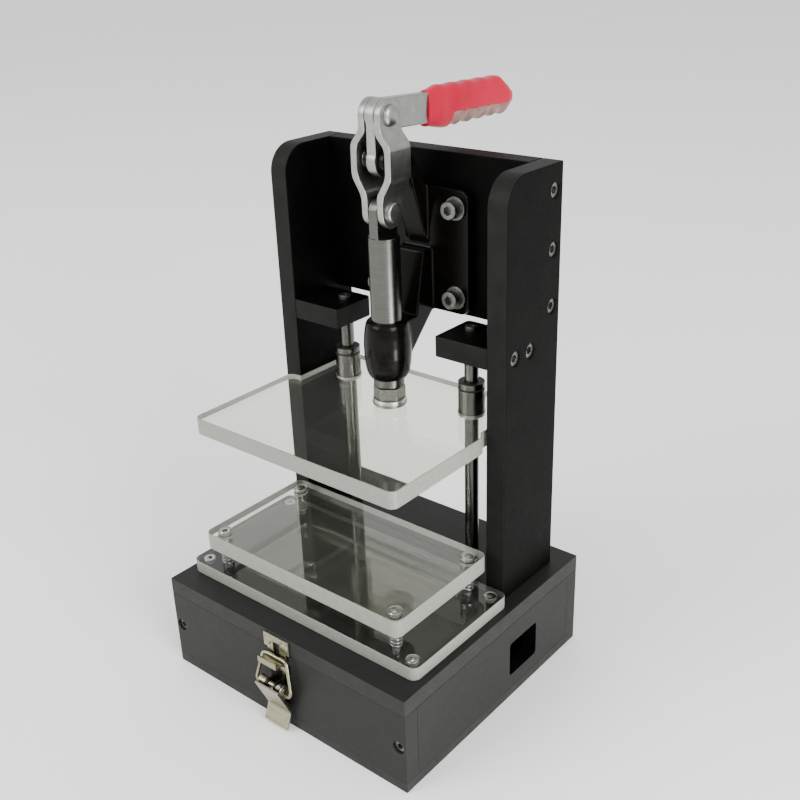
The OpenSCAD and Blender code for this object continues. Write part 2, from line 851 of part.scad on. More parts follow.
module block_screw_set(cut = 0) {
    mirrored_x() for (i = [0, 1])
        translate([inner_x + upright_t, gantry_front + block_screw_from_front + i * block_screw_pitch,
            block_z + block_h / 2]) rotate([0, 90, 0]) sunk_cap_screw(m5, side_screw_l, cut);
}

module block_screws() { color(steel) block_screw_set(); }

module upright(x0) {
    difference() {
        along_x(x0, x0 + upright_t) {
            translate([gantry_front, base_h]) square([upright_d, upright_h - upright_r]);
            translate([gantry_front + upright_r, base_h]) square([upright_d - upright_r, upright_h]);
            translate([gantry_front + upright_r, gantry_top - upright_r]) circle(upright_r);
        }
        back_screw_set(screw_fit);
        block_screw_set(screw_fit);
        upright_screw_set(screw_fit);
    }
}

module left_upright() { color(board) upright(-inner_x - upright_t); }

module right_upright() { color(board) upright(inner_x); }

module back_plate() {
    color(board) difference() {
        translate([-inner_x, back_front, back_z]) cube([2 * inner_x, back_t, back_h]);
        back_screw_set(screw_fit);
        clamp_screw_set(screw_fit);
    }
}

module rod_screw_set(cut = 0) {
    mirrored_x() translate([rod_x, rod_y, block_top])
        cap_screw(rod_screw_d, rod_screw_l, cut, rod_screw_head);
}

module rod_screws() { color(steel) rod_screw_set(); }

module rod_block() {
    difference() {
        translate([inner_x - block_l, gantry_front, block_z]) linear_extrude(block_h) {
            translate([block_edge_r, 0]) square([block_l - block_edge_r, block_d]);
            square([block_l, block_d - block_edge_r]);
            translate([block_edge_r, block_d - block_edge_r]) circle(block_edge_r);
        }
        translate([rod_x, rod_y, block_z - over])
            cylinder(d = rod_d + 2 * screw_fit, h = rod_seat + over);
        rod_screw_set(screw_fit);
        block_screw_set(screw_fit);
    }
}

module right_rod_block() { color(board) rod_block(); }

module left_rod_block() { color(board) mirror([1, 0, 0]) rod_block(); }

module guide_rod(x) {
    difference() {
        translate([x, rod_y, rod_bottom]) cylinder(d = rod_d, h = rod_top - rod_bottom);
        rod_screw_set(screw_fit);
    }
}

module left_guide_rod() { color(steel) guide_rod(-rod_x); }

module right_guide_rod() { color(steel) guide_rod(rod_x); }

// Floating carrier on four bolts
module at_bolts(z) {
    for (sx = [-1, 1], sy = [-1, 1])
        translate([sx * bolt_w / 2, probe_y + sy * bolt_d / 2, z]) children();
}

module carrier_bolt_set(cut = 0) {
    at_bolts(bolt_seat_z) cap_screw(m4, bolt_l, cut);
}

module carrier_bolts() { color(steel) carrier_bolt_set(); }

module carrier_plate() {
    color(clear) difference() {
        translate([0, probe_y, carrier_z]) linear_extrude(carrier_t)
            round_rect(carrier_w, carrier_d, plate_r);
        at_bolts(bolt_seat_z) cylinder(d = cap_head(m4) + 2 * head_room, h = carrier_t);
        at_bolts(carrier_z - over) cylinder(d = m4 + 2 * head_room, h = carrier_t);
        at_bolts(carrier_z - over) cylinder(d = bush_d + 2 * screw_fit, h = bush_seat + over);
    }
}

module carrier_bushes() {
    color(steel) at_bolts(carrier_z - bush_out) difference() {
        cylinder(d = bush_d, h = bush_out + bush_seat);
        translate([0, 0, -over]) cylinder(d = m4 + 2 * run_fit, h = bush_out + bush_seat + 2 * over);
    }
}

module carrier_springs() {
    color(steel) at_bolts(probe_top + spring_end_gap)
        coil(spring_d, spring_wire, carrier_gap - bush_out - 2 * spring_end_gap, spring_turns);
}

// Clamp casting
module at_clamp_screws(y) {
    for (sx = [-1, 1], sz = [-1, 1])
        translate([sx * flange_screw_w / 2, y, flange_mid_z + sz * flange_screw_h / 2])
            rotate([90, 0, 0]) children();
}

module clamp_screw_set(cut = 0) {
    at_clamp_screws(flange_front - washer_t) cap_screw(m6, flange_screw_l + washer_t, cut);
}

module clamp_screws() { color(steel) clamp_screw_set(); }

module clamp_washers() {
    color(steel) difference() {
        at_clamp_screws(flange_front) cylinder(d = washer_d, h = washer_t);
        clamp_screw_set(screw_fit);
    }
}

module barrel() {
    swell = barrel_d / 2 - barrel_tip_r;
    side = [for (p = barrel_shape) [barrel_tip_r + swell * p[1], barrel_h * p[0]]];
    translate([0, clamp_y, barrel_z]) rotate_extrude() polygon(concat([[0, 0]], side, [[0, barrel_h]]));
}

// Arms that carry the handle pivot, one on each side of the bar
module clamp_arms() {
    back = flange_front + over;
    root = clamp_y + ear_reach;
    mirrored_x() along_x(ear_in, ear_out) {
        translate([clamp_y, pivot_z]) circle(ear_r);
        translate([clamp_y, pivot_z - ear_r]) square([ear_reach, 2 * ear_r]);
        polygon([[root, pivot_z + ear_r], [back, flange_top - arm_in], [back, flange_mid_z],
            [root, pivot_z - ear_r]]);
    }
    along_x(-ear_out, ear_out)
        polygon([[root, pivot_z], [back, flange_top - arm_web_in], [back, flange_mid_z],
            [root, pivot_z - ear_r]]);
}

// Web between the flange and the barrel
module clamp_neck() {
    back = flange_front + over;
    along_x(-neck_w / 2, neck_w / 2)
        polygon([[clamp_y, barrel_z + neck_low], [clamp_y, barrel_top], [clamp_y + ear_reach, barrel_top],
            [back - neck_back, flange_mid_z], [back, flange_mid_z], [back, flange_z]]);
}

module clamp_body() {
    color(casting) difference() {
        union() {
            translate([0, 0, flange_mid_z]) along_y(flange_front, back_front)
                round_rect(flange_w, flange_w, flange_r);
            barrel();
            clamp_neck();
            clamp_arms();
        }
        translate([0, clamp_y, barrel_z - over])
            cylinder(d = plunger_d + 2 * run_fit, h = barrel_h + 2 * over);
        along_x(-ear_out - over, ear_out + over)
            translate([clamp_y, pivot_z]) circle(d = pivot_d + 2 * screw_fit);
        clamp_screw_set(screw_fit);
    }
}

module pivot_pin() {
    color(zinc) {
        along_x(-ear_out, ear_out) translate([clamp_y, pivot_z]) circle(d = pivot_d);
        mirrored_x() along_x(ear_out, ear_out + pivot_head_h)
            translate([clamp_y, pivot_z]) circle(d = pivot_head_d);
    }
}

// Side outline of the handle, a bell crank with its arm to the back
module handle_side() {
    eye_r = link_w / 2;
    neck = link_w - 2 * crank_waist;
    translate([clamp_y, pivot_z]) circle(eye_r);
    translate([clamp_y - neck / 2, pivot_z]) square([neck, crank_r]);
    translate([clamp_y, pin_z]) circle(eye_r);
    translate([clamp_y, pin_z]) rotate(-arm_droop)
        polygon([[0, -arm_h / 2], [arm_l - bar_end, -arm_h / 2], [arm_l, bar_end - arm_h / 2],
            [arm_l, arm_h / 2 - bar_end], [arm_l - bar_end, arm_h / 2], [0, arm_h / 2]]);
}

module handle_bar() {
    color(zinc) difference() {
        along_x(-bar_t / 2, bar_t / 2) handle_side();
        along_x(-bar_t, bar_t) translate([clamp_y, pin_z]) circle(d = rivet_d + 2 * run_fit);
        along_x(-bar_t, bar_t) translate([clamp_y, pivot_z]) circle(d = pivot_d + 2 * run_fit);
    }
}

// Side outline of the grip, with finger hollows underneath
module grip_side() {
    h = grip_h / 2;
    tail_z = h - grip_tail[1];
    tail_y = grip_l - grip_tail[0];
    nose_z = h - grip_nose[1];
    difference() {
        polygon([[0, -nose_z], [grip_nose[0], -h], [tail_y, -h], [grip_l, -tail_z],
            [grip_l, tail_z], [tail_y, h], [grip_nose[0], h], [0, nose_z]]);
        for (i = [0:finger_n - 1])
            translate([finger_start + i * finger_pitch, -h - finger_r + finger_cut]) circle(finger_r);
    }
}

// Outline of the grip from above
module grip_top() {
    w = grip_w / 2;
    tail_y = grip_l - grip_tail[0];
    polygon([[grip_pinch - w, 0], [-w, grip_nose[0]], [-w, tail_y], [grip_bevel - w, grip_l],
        [w - grip_bevel, grip_l], [w, tail_y], [w, grip_nose[0]], [w - grip_pinch, 0]]);
}

// Section of the grip
module grip_section() {
    w = grip_w / 2;
    h = grip_h / 2;
    polygon([[-w, grip_bevel - h], [grip_bevel - w, -h], [w - grip_bevel, -h], [w, grip_bevel - h],
        [w, h - grip_bevel], [w - grip_bevel, h], [grip_bevel - w, h], [-w, h - grip_bevel]]);
}

module grip() {
    slot_y1 = arm_l - grip_from_pin + grip_slot_gap;
    slot = [bar_t + 2 * grip_slot_gap, slot_y1 + over, arm_h + 2 * grip_slot_gap];
    color(red) translate([0, clamp_y, pin_z]) rotate([-arm_droop, 0, 0]) translate([0, grip_from_pin, 0])
        difference() {
            intersection() {
                along_x(-grip_w / 2, grip_w / 2) grip_side();
                translate([0, 0, -grip_h]) linear_extrude(2 * grip_h) grip_top();
                along_y(-over, grip_l + over) grip_section();
            }
            translate([-slot[0] / 2, -over, -slot[2] / 2]) cube(slot);
        }
}

// Bowed link on the right of the bar
module link() {
    eye_r = link_w / 2;
    in_mid = link_in + link_t / 2;
    bow_mid = link_bow - link_t / 2;
    low_z = tang_z + link_flat[0];
    high_z = pin_z - link_flat[1];
    path = [[in_mid, tang_z - eye_r], [in_mid, low_z], [bow_mid, low_z + link_slope[0]],
        [bow_mid, high_z - link_slope[1]], [in_mid, high_z], [in_mid, pin_z + eye_r]];
    difference() {
        intersection() {
            translate([0, clamp_y - link_w, 0]) along_y(0, 2 * link_w) polygon(strip(path, link_t));
            along_x(0, 2 * link_bow) {
                for (z = [tang_z, pin_z]) translate([clamp_y, z]) circle(eye_r);
                translate([clamp_y - eye_r, tang_z]) square([link_w, link_l]);
            }
        }
        for (z = [tang_z, pin_z]) along_x(0, 2 * link_bow)
            translate([clamp_y, z]) circle(d = rivet_d + 2 * screw_fit);
    }
}

module right_link() { color(zinc) link(); }

module left_link() { color(zinc) mirror([1, 0, 0]) link(); }

module rivet_heads(z) {
    mirrored_x() translate([link_in + link_t, clamp_y, z])
        rotate([0, 90, 0]) dome(rivet_head_d, rivet_head_h);
}

module top_rivet() {
    out = link_in + link_t;
    color(zinc) {
        along_x(-out, out) translate([clamp_y, pin_z]) circle(d = rivet_d);
        rivet_heads(pin_z);
    }
}

// The lower rivets end at the inner faces of the links
module tang_rivets() {
    color(zinc) {
        mirrored_x() along_x(link_in, link_in + link_t)
            translate([clamp_y, tang_z]) circle(d = rivet_d);
        rivet_heads(tang_z);
    }
}

// Plunger and what it carries
module plunger() {
    color(steel) difference() {
        union() {
            translate([0, clamp_y, plunger_z]) cylinder(d = plunger_d, h = shoulder_z - plunger_z);
            intersection() {
                along_x(-bar_t / 2, bar_t / 2) {
                    translate([clamp_y, tang_z]) circle(link_w / 2);
                    translate([clamp_y - link_w / 2, shoulder_z - over]) square([link_w, tang_rise + over]);
                }
                translate([0, clamp_y, shoulder_z - over]) cylinder(d = plunger_d, h = tang_rise + link_w);
            }
        }
        along_x(-bar_t, bar_t) translate([clamp_y, tang_z]) circle(d = rivet_d + 2 * run_fit);
        translate([0, clamp_y, plunger_z - over])
            cylinder(d = foot_stud_d + 2 * screw_fit, h = foot_stud_l + screw_fit + over);
    }
}

// Drum of the foot from the floor of its pocket to height h. Grown by cut it is the tool for the pocket.
module foot_drum(h, cut = 0) {
    r = foot_d / 2 + cut;
    translate([0, clamp_y, press_top - foot_sink]) rotate_extrude() {
        translate([0, foot_round]) square([r, h - foot_round]);
        square([r - foot_round, h]);
        translate([r - foot_round, foot_round]) circle(foot_round);
    }
}

module plunger_foot() {
    color(steel) difference() {
        union() {
            foot_drum(foot_sink + foot_h);
            translate([0, clamp_y, press_top])
                cylinder(d = foot_stud_d, h = plunger_z - press_top + foot_stud_l);
        }
        foot_screw_set(screw_fit);
    }
}

module foot_nut() {
    color(steel) translate([0, clamp_y, nut_z]) rotate([0, 0, nut_turn]) difference() {
        cylinder(d = nut_flats * hex_corners, h = nut_h, $fn = 6);
        translate([0, 0, -over]) cylinder(d = foot_stud_d + 2 * screw_fit, h = nut_h + 2 * over);
    }
}

module foot_screw_set(cut = 0) {
    translate([0, clamp_y, press_z]) rotate([180, 0, 0]) csk_screw(foot_screw_d, foot_screw_l, cut);
}

module foot_screw() { color(steel) foot_screw_set(); }

module press_plate() {
    depth = press_step - front_y - press_front;
    color(clear) difference() {
        union() {
            translate([press_shift, press_step - depth / 2, press_z]) linear_extrude(press_t)
                round_rect(press_w, depth, press_r);
            translate([-press_tail_w / 2, press_step - press_r - over, press_z])
                cube([press_tail_w, press_rear - press_step + press_r + over, press_t]);
        }
        mirrored_x() translate([rod_x, rod_y, press_z]) {
            translate([0, 0, press_t - bearing_seat]) cylinder(d = bearing_d + 2 * screw_fit, h = press_t);
            translate([0, 0, -over]) cylinder(d = rod_d + 2 * rod_hole_gap, h = press_t);
        }
        foot_drum(foot_sink + over, screw_fit);
        foot_screw_set(screw_fit);
    }
}

module bearing(x) {
    r = bearing_d / 2;
    groove_z = [ring_from_end, bearing_l - ring_from_end - ring_w];
    translate([x, rod_y, bearing_z]) difference() {
        cylinder(d = bearing_d, h = bearing_l);
        translate([0, 0, -over]) cylinder(d = rod_d + 2 * run_fit, h = bearing_l + 2 * over);
        for (z = groove_z) translate([0, 0, z]) difference() {
            cylinder(r = r + over, h = ring_w);
            translate([0, 0, -over]) cylinder(r = r - ring_depth, h = ring_w + 2 * over);
        }
    }
}

module left_bearing() { color(steel) bearing(-rod_x); }

module right_bearing() { color(steel) bearing(rod_x); }

// Dark rings in the upper grooves of the bearings
module bearing_rings() {
    r = bearing_d / 2;
    color(casting) mirrored_x()
        translate([rod_x, rod_y, bearing_top - ring_from_end - ring_w]) difference() {
            cylinder(r = r, h = ring_w);
            translate([0, 0, -over]) cylinder(r = r - ring_depth, h = ring_w + 2 * over);
        }
}

bottom_plate();
front_panel();
rear_panel();
left_panel();
right_panel();
panel_screws();
bottom_screws();
hinge_base_leaves();
hinge_pins();
hinge_base_screws();
latch_plate();
latch_pin();
latch_rivets();
latch_spring();
latch_lever();
latch_bail();
lid_plate();
hinge_lid_leaves();
hinge_lid_screws();
keeper();
keeper_rivets();
left_upright();
right_upright();
upright_screws();
back_plate();
back_plate_screws();
left_rod_block();
right_rod_block();
block_screws();
rod_screws();
left_guide_rod();
right_guide_rod();
probe_plate();
probe_screws();
carrier_bolts();
carrier_springs();
carrier_plate();
carrier_bushes();
clamp_body();
clamp_screws();
clamp_washers();
pivot_pin();
handle_bar();
grip();
left_link();
right_link();
top_rivet();
tang_rivets();
plunger();
plunger_foot();
foot_nut();
foot_screw();
press_plate();
left_bearing();
right_bearing();
bearing_rings();
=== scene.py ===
"""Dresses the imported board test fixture: boards, clear plates, a cast clamp, screws and a studio."""

from __future__ import annotations

import json
import logging
import math
import random
from dataclasses import dataclass, field
from enum import Enum
from typing import Any, Dict, List, Optional, Sequence, Tuple

import bmesh
import bpy
from mathutils import Euler, Matrix, Vector

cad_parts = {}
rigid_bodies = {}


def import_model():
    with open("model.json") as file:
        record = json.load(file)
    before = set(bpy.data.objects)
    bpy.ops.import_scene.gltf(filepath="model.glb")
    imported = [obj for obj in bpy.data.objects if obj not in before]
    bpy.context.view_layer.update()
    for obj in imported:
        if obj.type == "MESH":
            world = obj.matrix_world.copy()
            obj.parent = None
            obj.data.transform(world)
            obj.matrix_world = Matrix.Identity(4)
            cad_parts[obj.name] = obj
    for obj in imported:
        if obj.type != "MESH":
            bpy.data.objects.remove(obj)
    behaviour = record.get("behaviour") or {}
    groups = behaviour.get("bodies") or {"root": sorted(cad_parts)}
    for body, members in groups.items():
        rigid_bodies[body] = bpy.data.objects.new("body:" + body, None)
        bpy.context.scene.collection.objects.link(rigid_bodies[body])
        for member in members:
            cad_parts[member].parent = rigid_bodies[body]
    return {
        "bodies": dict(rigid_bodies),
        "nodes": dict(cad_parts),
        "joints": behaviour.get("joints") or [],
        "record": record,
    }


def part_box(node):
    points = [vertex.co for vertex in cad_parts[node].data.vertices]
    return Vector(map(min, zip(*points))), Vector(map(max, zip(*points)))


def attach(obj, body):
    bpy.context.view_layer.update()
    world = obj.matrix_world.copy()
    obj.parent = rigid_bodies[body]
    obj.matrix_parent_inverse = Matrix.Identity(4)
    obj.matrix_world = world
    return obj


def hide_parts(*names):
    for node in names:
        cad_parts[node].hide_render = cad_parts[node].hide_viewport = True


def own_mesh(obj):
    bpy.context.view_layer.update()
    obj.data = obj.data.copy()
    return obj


LOG = logging.getLogger("fixture")
MM = 0.001
M2_5, M3, M4, M5, M6 = 2.5 * MM, 3 * MM, 4 * MM, 5 * MM, 6 * MM
# Distance under which points are merged, and angle in degrees under which faces are one plane
WELD = 2e-6
FLAT = 0.5
# Share of a normal along an axis above which a face looks that way
FACING = 0.9
# Rim of a cap head as a share of its radius, and rim and land of a countersunk head
CAP_RIM = 0.07
SUNK_RIM = 0.12 * MM
SUNK_LAND = 0.18 * MM
# Angles in degrees at which edges of steel, and bends of sheet or bar, are rounded
STEEL_EDGE = 50.0
BEND = (16.0, 62.0)
# Stretches of the noise that a finish spreads its colours and its roughness over
COLOR_SPREAD = (0.32, 0.68)
ROUGH_SPREAD = (0.3, 0.7)
BUMP_HEIGHT = 0.4 * MM
HAIRLINE_TURN = (0.5, 0.7, 0.4)
HAIRLINE_SCALE = (18.0, 900.0, 500.0)
SPANGLE_SCALE = 260.0

Pair = Tuple[float, float]
Color = Tuple[float, float, float]
Box = Tuple[Vector, Vector]
Place = Tuple[Vector, Vector]
Socket = bpy.types.NodeSocket
Mesh = bpy.types.Mesh
BMesh = bmesh.types.BMesh


class Grain(Enum):
    """How a finish is drawn out: the share of its noise scale along X, Y and Z."""

    EVEN = (1.0, 1.0, 1.0)
    ALONG_X = (0.05, 1.0, 1.0)
    ROUND_Z = (0.3, 0.3, 6.0)


class Marks(Enum):
    """What lies over the grain of a finish: the stretch of its noise from none to full."""

    NONE = (0.0, 0.0)
    HAIRLINES = (0.66, 0.72)
    SPANGLE = (0.15, 0.75)


class Axis(Enum):
    """An axis of the frame, by its place in a vector."""

    X = 0
    Y = 1
    Z = 2


class Aim(Enum):
    """Where the heads of a set of screws or rivets point."""

    UP = (0, 0, 1)
    DOWN = (0, 0, -1)
    FRONT = (0, -1, 0)
    BACK = (0, 1, 0)
    SIDES = (1, 0, 0)
    ENDS = (0, 2, 0)

    def toward(self, centre: Vector) -> Vector:
        """Gives the direction of a head.

        Args:
            centre: Centre of the screw; sets on both sides of the object point outwards.

        Returns:
            A unit vector.
        """
        if self is Aim.SIDES:
            return Vector((math.copysign(1, centre.x), 0, 0))
        if self is Aim.ENDS:
            return Vector((0, math.copysign(1, centre.y), 0))
        return Vector(self.value)


@dataclass(frozen=True)
class HeadShape:
    """Shares of a head's radius, of its height and of the thread that its shape takes."""

    top: float
    socket: float
    socket_depth: float
    knurls: int
    knurl_share: float


class Head(Enum):
    """Kinds of screw head."""

    CAP = HeadShape(top=0.93, socket=0.46, socket_depth=0.55, knurls=36, knurl_share=0.03)
    SUNK = HeadShape(top=0.98, socket=0.36, socket_depth=0.8, knurls=20, knurl_share=0.0)


class NodeBook:
    """Writes nodes, their settings and their links into a tree."""

    def __init__(self, tree: bpy.types.NodeTree) -> None:
        """Keeps the tree to write into."""
        self.tree = tree

    def add(self, kind: str, values: Optional[Dict[Any, Any]] = None, **settings: Any) -> bpy.types.Node:
        """Adds one node.

        Args:
            kind: Blender's type name of the node.
            values: Input sockets by name or index, each with a value or with the output that feeds it.
            settings: Properties of the node.

        Returns:
            The new node.
        """
        node = self.tree.nodes.new(kind)
        for key, value in settings.items():
            setattr(node, key, value)
        for key, value in (values or {}).items():
            for one in value if isinstance(value, list) else [value]:
                if isinstance(one, bpy.types.NodeSocket):
                    self.tree.links.new(one, node.inputs[key])
                else:
                    node.inputs[key].default_value = one
        return node

    def out(self, kind: str, values: Optional[Dict[Any, Any]] = None, **settings: Any) -> Socket:
        """Adds one node, as add does, and gives its first output."""
        return self.add(kind, values, **settings).outputs[0]

    def math(self, operation: str, first: Any, second: Any = 0.0) -> Socket:
        """Works out one operation on two values or sockets."""
        return self.out("ShaderNodeMath", {0: first, 1: second}, operation=operation)

    def spread(self, value: Socket, taken: Pair, given: Pair) -> Socket:
        """Maps a value from the stretch that it is taken from to the one that is given."""
        return self.out("ShaderNodeMapRange", {0: value, 1: taken[0], 2: taken[1], 3: given[0], 4: given[1]})

    def drop(self, depth: Any) -> Socket:
        """Makes a vector that points down by a depth."""
        return self.out("ShaderNodeCombineXYZ", {"Z": self.math("MULTIPLY", depth, -1.0)})


@dataclass(frozen=True)
class Finish:
    """A surface finish, from which one material is made."""

    name: str
    dark: Color
    light: Color
    rough: Pair
    scale: float
    grain: Grain = Grain.EVEN
    marks: Marks = Marks.NONE
    mark_color: Color = (0.5, 0.5, 0.5)
    mark_amount: float = 0.0
    bump: float = 0.05
    metal: float = 0.0
    clear: float = 0.0
    ior: float = 1.5
    specular: float = 0.5

    def material(self) -> bpy.types.Material:
        """Makes the material, or finds the one made before.

        Returns:
            A material with a procedural node tree on Object coordinates.
        """
        found = bpy.data.materials.get(self.name)
        if found:
            return found
        made = bpy.data.materials.new(self.name)
        made.use_nodes = True
        made.node_tree.nodes.clear()
        book = NodeBook(made.node_tree)
        coords = book.add("ShaderNodeTexCoord").outputs["Object"]
        stretch = tuple(self.scale * share for share in self.grain.value)
        place = book.out("ShaderNodeMapping", {"Vector": coords, "Scale": stretch})
        broad = book.out("ShaderNodeTexNoise", {"Vector": place, "Scale": 1.0, "Detail": 3.0})
        fine = book.out("ShaderNodeTexNoise", {
            "Vector": place, "Scale": 6.0, "Detail": 5.0, "Roughness": 0.6})
        ramp = book.add("ShaderNodeValToRGB", {0: broad})
        for stop, at, shade in zip(ramp.color_ramp.elements, COLOR_SPREAD, (self.dark, self.light)):
            stop.position = at
            stop.color = (*shade, 1)
        color = ramp.outputs[0]
        if self.marks is not Marks.NONE:
            color = self._marked(book, coords, color)
        rough = book.spread(fine, ROUGH_SPREAD, self.rough)
        bump = book.out("ShaderNodeBump", {"Strength": self.bump, "Distance": BUMP_HEIGHT, "Height": fine})
        shader = book.out("ShaderNodeBsdfPrincipled", {
            "Base Color": color, "Roughness": rough, "Normal": bump, "Metallic": self.metal,
            "Transmission Weight": self.clear, "IOR": self.ior, "Specular IOR Level": self.specular})
        book.add("ShaderNodeOutputMaterial", {"Surface": shader})
        return made

    def _marked(self, book: NodeBook, coords: Socket, color: Socket) -> Socket:
        """Lays the marks over the colour.

        Args:
            book: Book of the material's tree.
            coords: Object coordinates.
            color: Colour without marks.

        Returns:
            The marked colour.
        """
        if self.marks is Marks.HAIRLINES:
            turned = book.out("ShaderNodeMapping", {
                "Vector": coords, "Rotation": HAIRLINE_TURN, "Scale": HAIRLINE_SCALE})
            noise = book.out("ShaderNodeTexNoise", {"Vector": turned, "Scale": 1.0, "Detail": 2.0})
        else:
            noise = book.out("ShaderNodeTexVoronoi", {"Vector": coords, "Scale": SPANGLE_SCALE},
                             feature="SMOOTH_F1")
        share = book.spread(noise, self.marks.value, (0.0, self.mark_amount))
        mixed = book.add("ShaderNodeMix", {0: share, 6: color, 7: (*self.mark_color, 1)}, data_type="RGBA")
        return mixed.outputs[2]


BOARD = Finish("black_board_face", (0.0108, 0.0108, 0.0101), (0.0126, 0.0126, 0.0118), (0.46, 0.54), 60.0,
               marks=Marks.HAIRLINES, mark_color=(0.024, 0.024, 0.023), mark_amount=0.2, bump=0.04,
               specular=0.16)
BOARD_SAWN = Finish("black_board_edge", (0.015, 0.015, 0.0142), (0.020, 0.020, 0.019), (0.48, 0.62), 110.0,
                    bump=0.08, specular=0.16)
# Darker, less glossy copies of the same board, faces and sawn sides, for the gantry pieces: painted shade,
# not a darker board
BOARD_SHADED = Finish("black_board_painted_shade", (0.0014, 0.0014, 0.0013), (0.0024, 0.0024, 0.0022),
                    (0.42, 0.54), 60.0, marks=Marks.HAIRLINES, mark_color=(0.010, 0.010, 0.009),
                    mark_amount=0.25, bump=0.04, specular=0.04)
BOARD_SHADED_SAWN = Finish("black_board_painted_shade_edge", (0.0062, 0.0060, 0.0056), (0.0088, 0.0086, 0.0080),
                         (0.48, 0.60), 110.0, bump=0.07, specular=0.09)
# An even darker copy of the board for the back plate between the uprights: painted shade
BOARD_BACK_SHADED = Finish("black_board_back_painted_shade", (0.0012, 0.0012, 0.0011), (0.0020, 0.0020, 0.0018),
                    (0.42, 0.52), 60.0, marks=Marks.HAIRLINES, mark_color=(0.010, 0.010, 0.009),
                    mark_amount=0.2, bump=0.04, specular=0.03)
ACRYLIC = Finish("clear_acrylic_face", (0.872, 0.880, 0.800), (0.888, 0.896, 0.820), (0.0, 0.03), 25.0,
                 bump=0.004, clear=0.985, ior=1.49)
ACRYLIC_SAWN = Finish("clear_acrylic_edge", (0.27, 0.27, 0.235), (0.32, 0.32, 0.28), (0.34, 0.46), 400.0,
                      bump=0.05, clear=0.35, ior=1.49)
CASTING = Finish("clamp_casting_paint", (0.0016, 0.0013, 0.0010), (0.0036, 0.0029, 0.0024),
                 (0.14, 0.26), 160.0, bump=0.03, specular=0.10)
ZINC = Finish("zinc_plate", (0.26, 0.262, 0.246), (0.34, 0.342, 0.322), (0.28, 0.40), 180.0,
              marks=Marks.SPANGLE, mark_color=(0.22, 0.222, 0.21), mark_amount=0.3, bump=0.05, metal=1.0)
GROUND = Finish("turned_steel", (0.085, 0.085, 0.078), (0.105, 0.105, 0.097), (0.22, 0.28), 240.0,
                grain=Grain.ROUND_Z, bump=0.10, metal=1.0)
# Dull grey for the pocket walls of the press plate: stands for the sunk part of the foot, darkened as painted
# shade
FOOT_SUNK_SHADE = Finish("foot_in_plate_painted_shade", (0.13, 0.13, 0.115), (0.22, 0.22, 0.195), (0.3, 0.45), 200.0,
                   bump=0.04)
FOOT = Finish("foot_satin", (0.40, 0.40, 0.365), (0.52, 0.52, 0.475), (0.26, 0.40), 300.0,
              bump=0.05, metal=1.0)
SCREW = Finish("plated_screw", (0.15, 0.15, 0.138), (0.23, 0.23, 0.213), (0.30, 0.45), 500.0,
               bump=0.03, metal=1.0)
BRIGHT = Finish("bright_screw", (0.40, 0.40, 0.375), (0.55, 0.55, 0.515), (0.16, 0.28), 500.0,
                bump=0.03, metal=1.0)
NICKEL = Finish("latch_plating", (0.24, 0.228, 0.155), (0.37, 0.352, 0.25), (0.24, 0.38), 260.0,
                grain=Grain.ALONG_X, marks=Marks.SPANGLE, mark_color=(0.19, 0.178, 0.12), mark_amount=0.35,
                bump=0.05, metal=1.0)
# A much darker copy of the latch plating for the base plate: painted shadow behind the bail and lever
NICKEL_SHADOWED = Finish("latch_plating_painted_shadow", (0.030, 0.026, 0.018), (0.050, 0.044, 0.031),
                     (0.30, 0.46), 260.0, bump=0.06, metal=1.0)
WIRE = Finish("spring_wire", (0.20, 0.20, 0.195), (0.32, 0.32, 0.31), (0.2, 0.34), 700.0,
              bump=0.03, metal=1.0)
VINYL = Finish("red_vinyl", (0.37, 0.0010, 0.022), (0.41, 0.0015, 0.027), (0.28, 0.38), 60.0,
               bump=0.02, specular=0.15)
# Greyish pink of the grip's lower band: partly wear, partly painted reflection of the floor on the underside
VINYL_WORN_SHEEN = Finish("red_vinyl_worn_and_painted_reflection", (0.15, 0.068, 0.060), (0.26, 0.160, 0.146), (0.34, 0.46), 160.0,
                    bump=0.05, specular=0.2)
SEAL = Finish("black_seal", (0.004, 0.004, 0.004), (0.008, 0.008, 0.008), (0.5, 0.7), 300.0, bump=0.06)
PAPER = Finish("studio_floor", (0.90, 0.90, 0.89), (0.92, 0.92, 0.91), (0.75, 0.85), 3.0,
               bump=0.01, specular=0.2)


def evaluated(obj: bpy.types.Object) -> Mesh:
    """Turns an object with modifiers into a plain mesh and removes the object.

    Args:
        obj: Object to evaluate, linked to the scene.

    Returns:
        The mesh as its modifiers leave it.
    """
    depsgraph = bpy.context.evaluated_depsgraph_get()
    made = bpy.data.meshes.new_from_object(
        obj.evaluated_get(depsgraph), preserve_all_data_layers=True, depsgraph=depsgraph)
    source = obj.data
    obj.modifiers.clear()
    bpy.data.objects.remove(obj)
    bpy.data.meshes.remove(source)
    return made


def linked(name: str, mesh: Mesh) -> bpy.types.Object:
    """Makes an object of a mesh and links it to the scene.

    Args:
        name: Name of the object.
        mesh: Its mesh.

    Returns:
        The object, at the origin.
    """
    obj = bpy.data.objects.new(name, mesh)
    bpy.context.scene.collection.objects.link(obj)
    return obj


def settled(name: str, bm: BMesh, smooth_under: float = 42.0) -> Mesh:
    """Writes a bmesh to a mesh whose normals keep its flat faces flat.

    Args:
        name: Name of the mesh.
        bm: Source, which is freed.
        smooth_under: Edges below this angle, in degrees, are shaded smooth.

    Returns:
        The finished mesh.
    """
    draft = bpy.data.meshes.new(name + "_draft")
    bm.to_mesh(draft)
    bm.free()
    draft.shade_smooth()
    draft.set_sharp_from_angle(angle=math.radians(smooth_under))
    obj = linked(name + "_draft", draft)
    even = obj.modifiers.new("Even", "WEIGHTED_NORMAL")
    even.keep_sharp = True
    even.weight = 90
    mesh = evaluated(obj)
    mesh.name = name
    return mesh


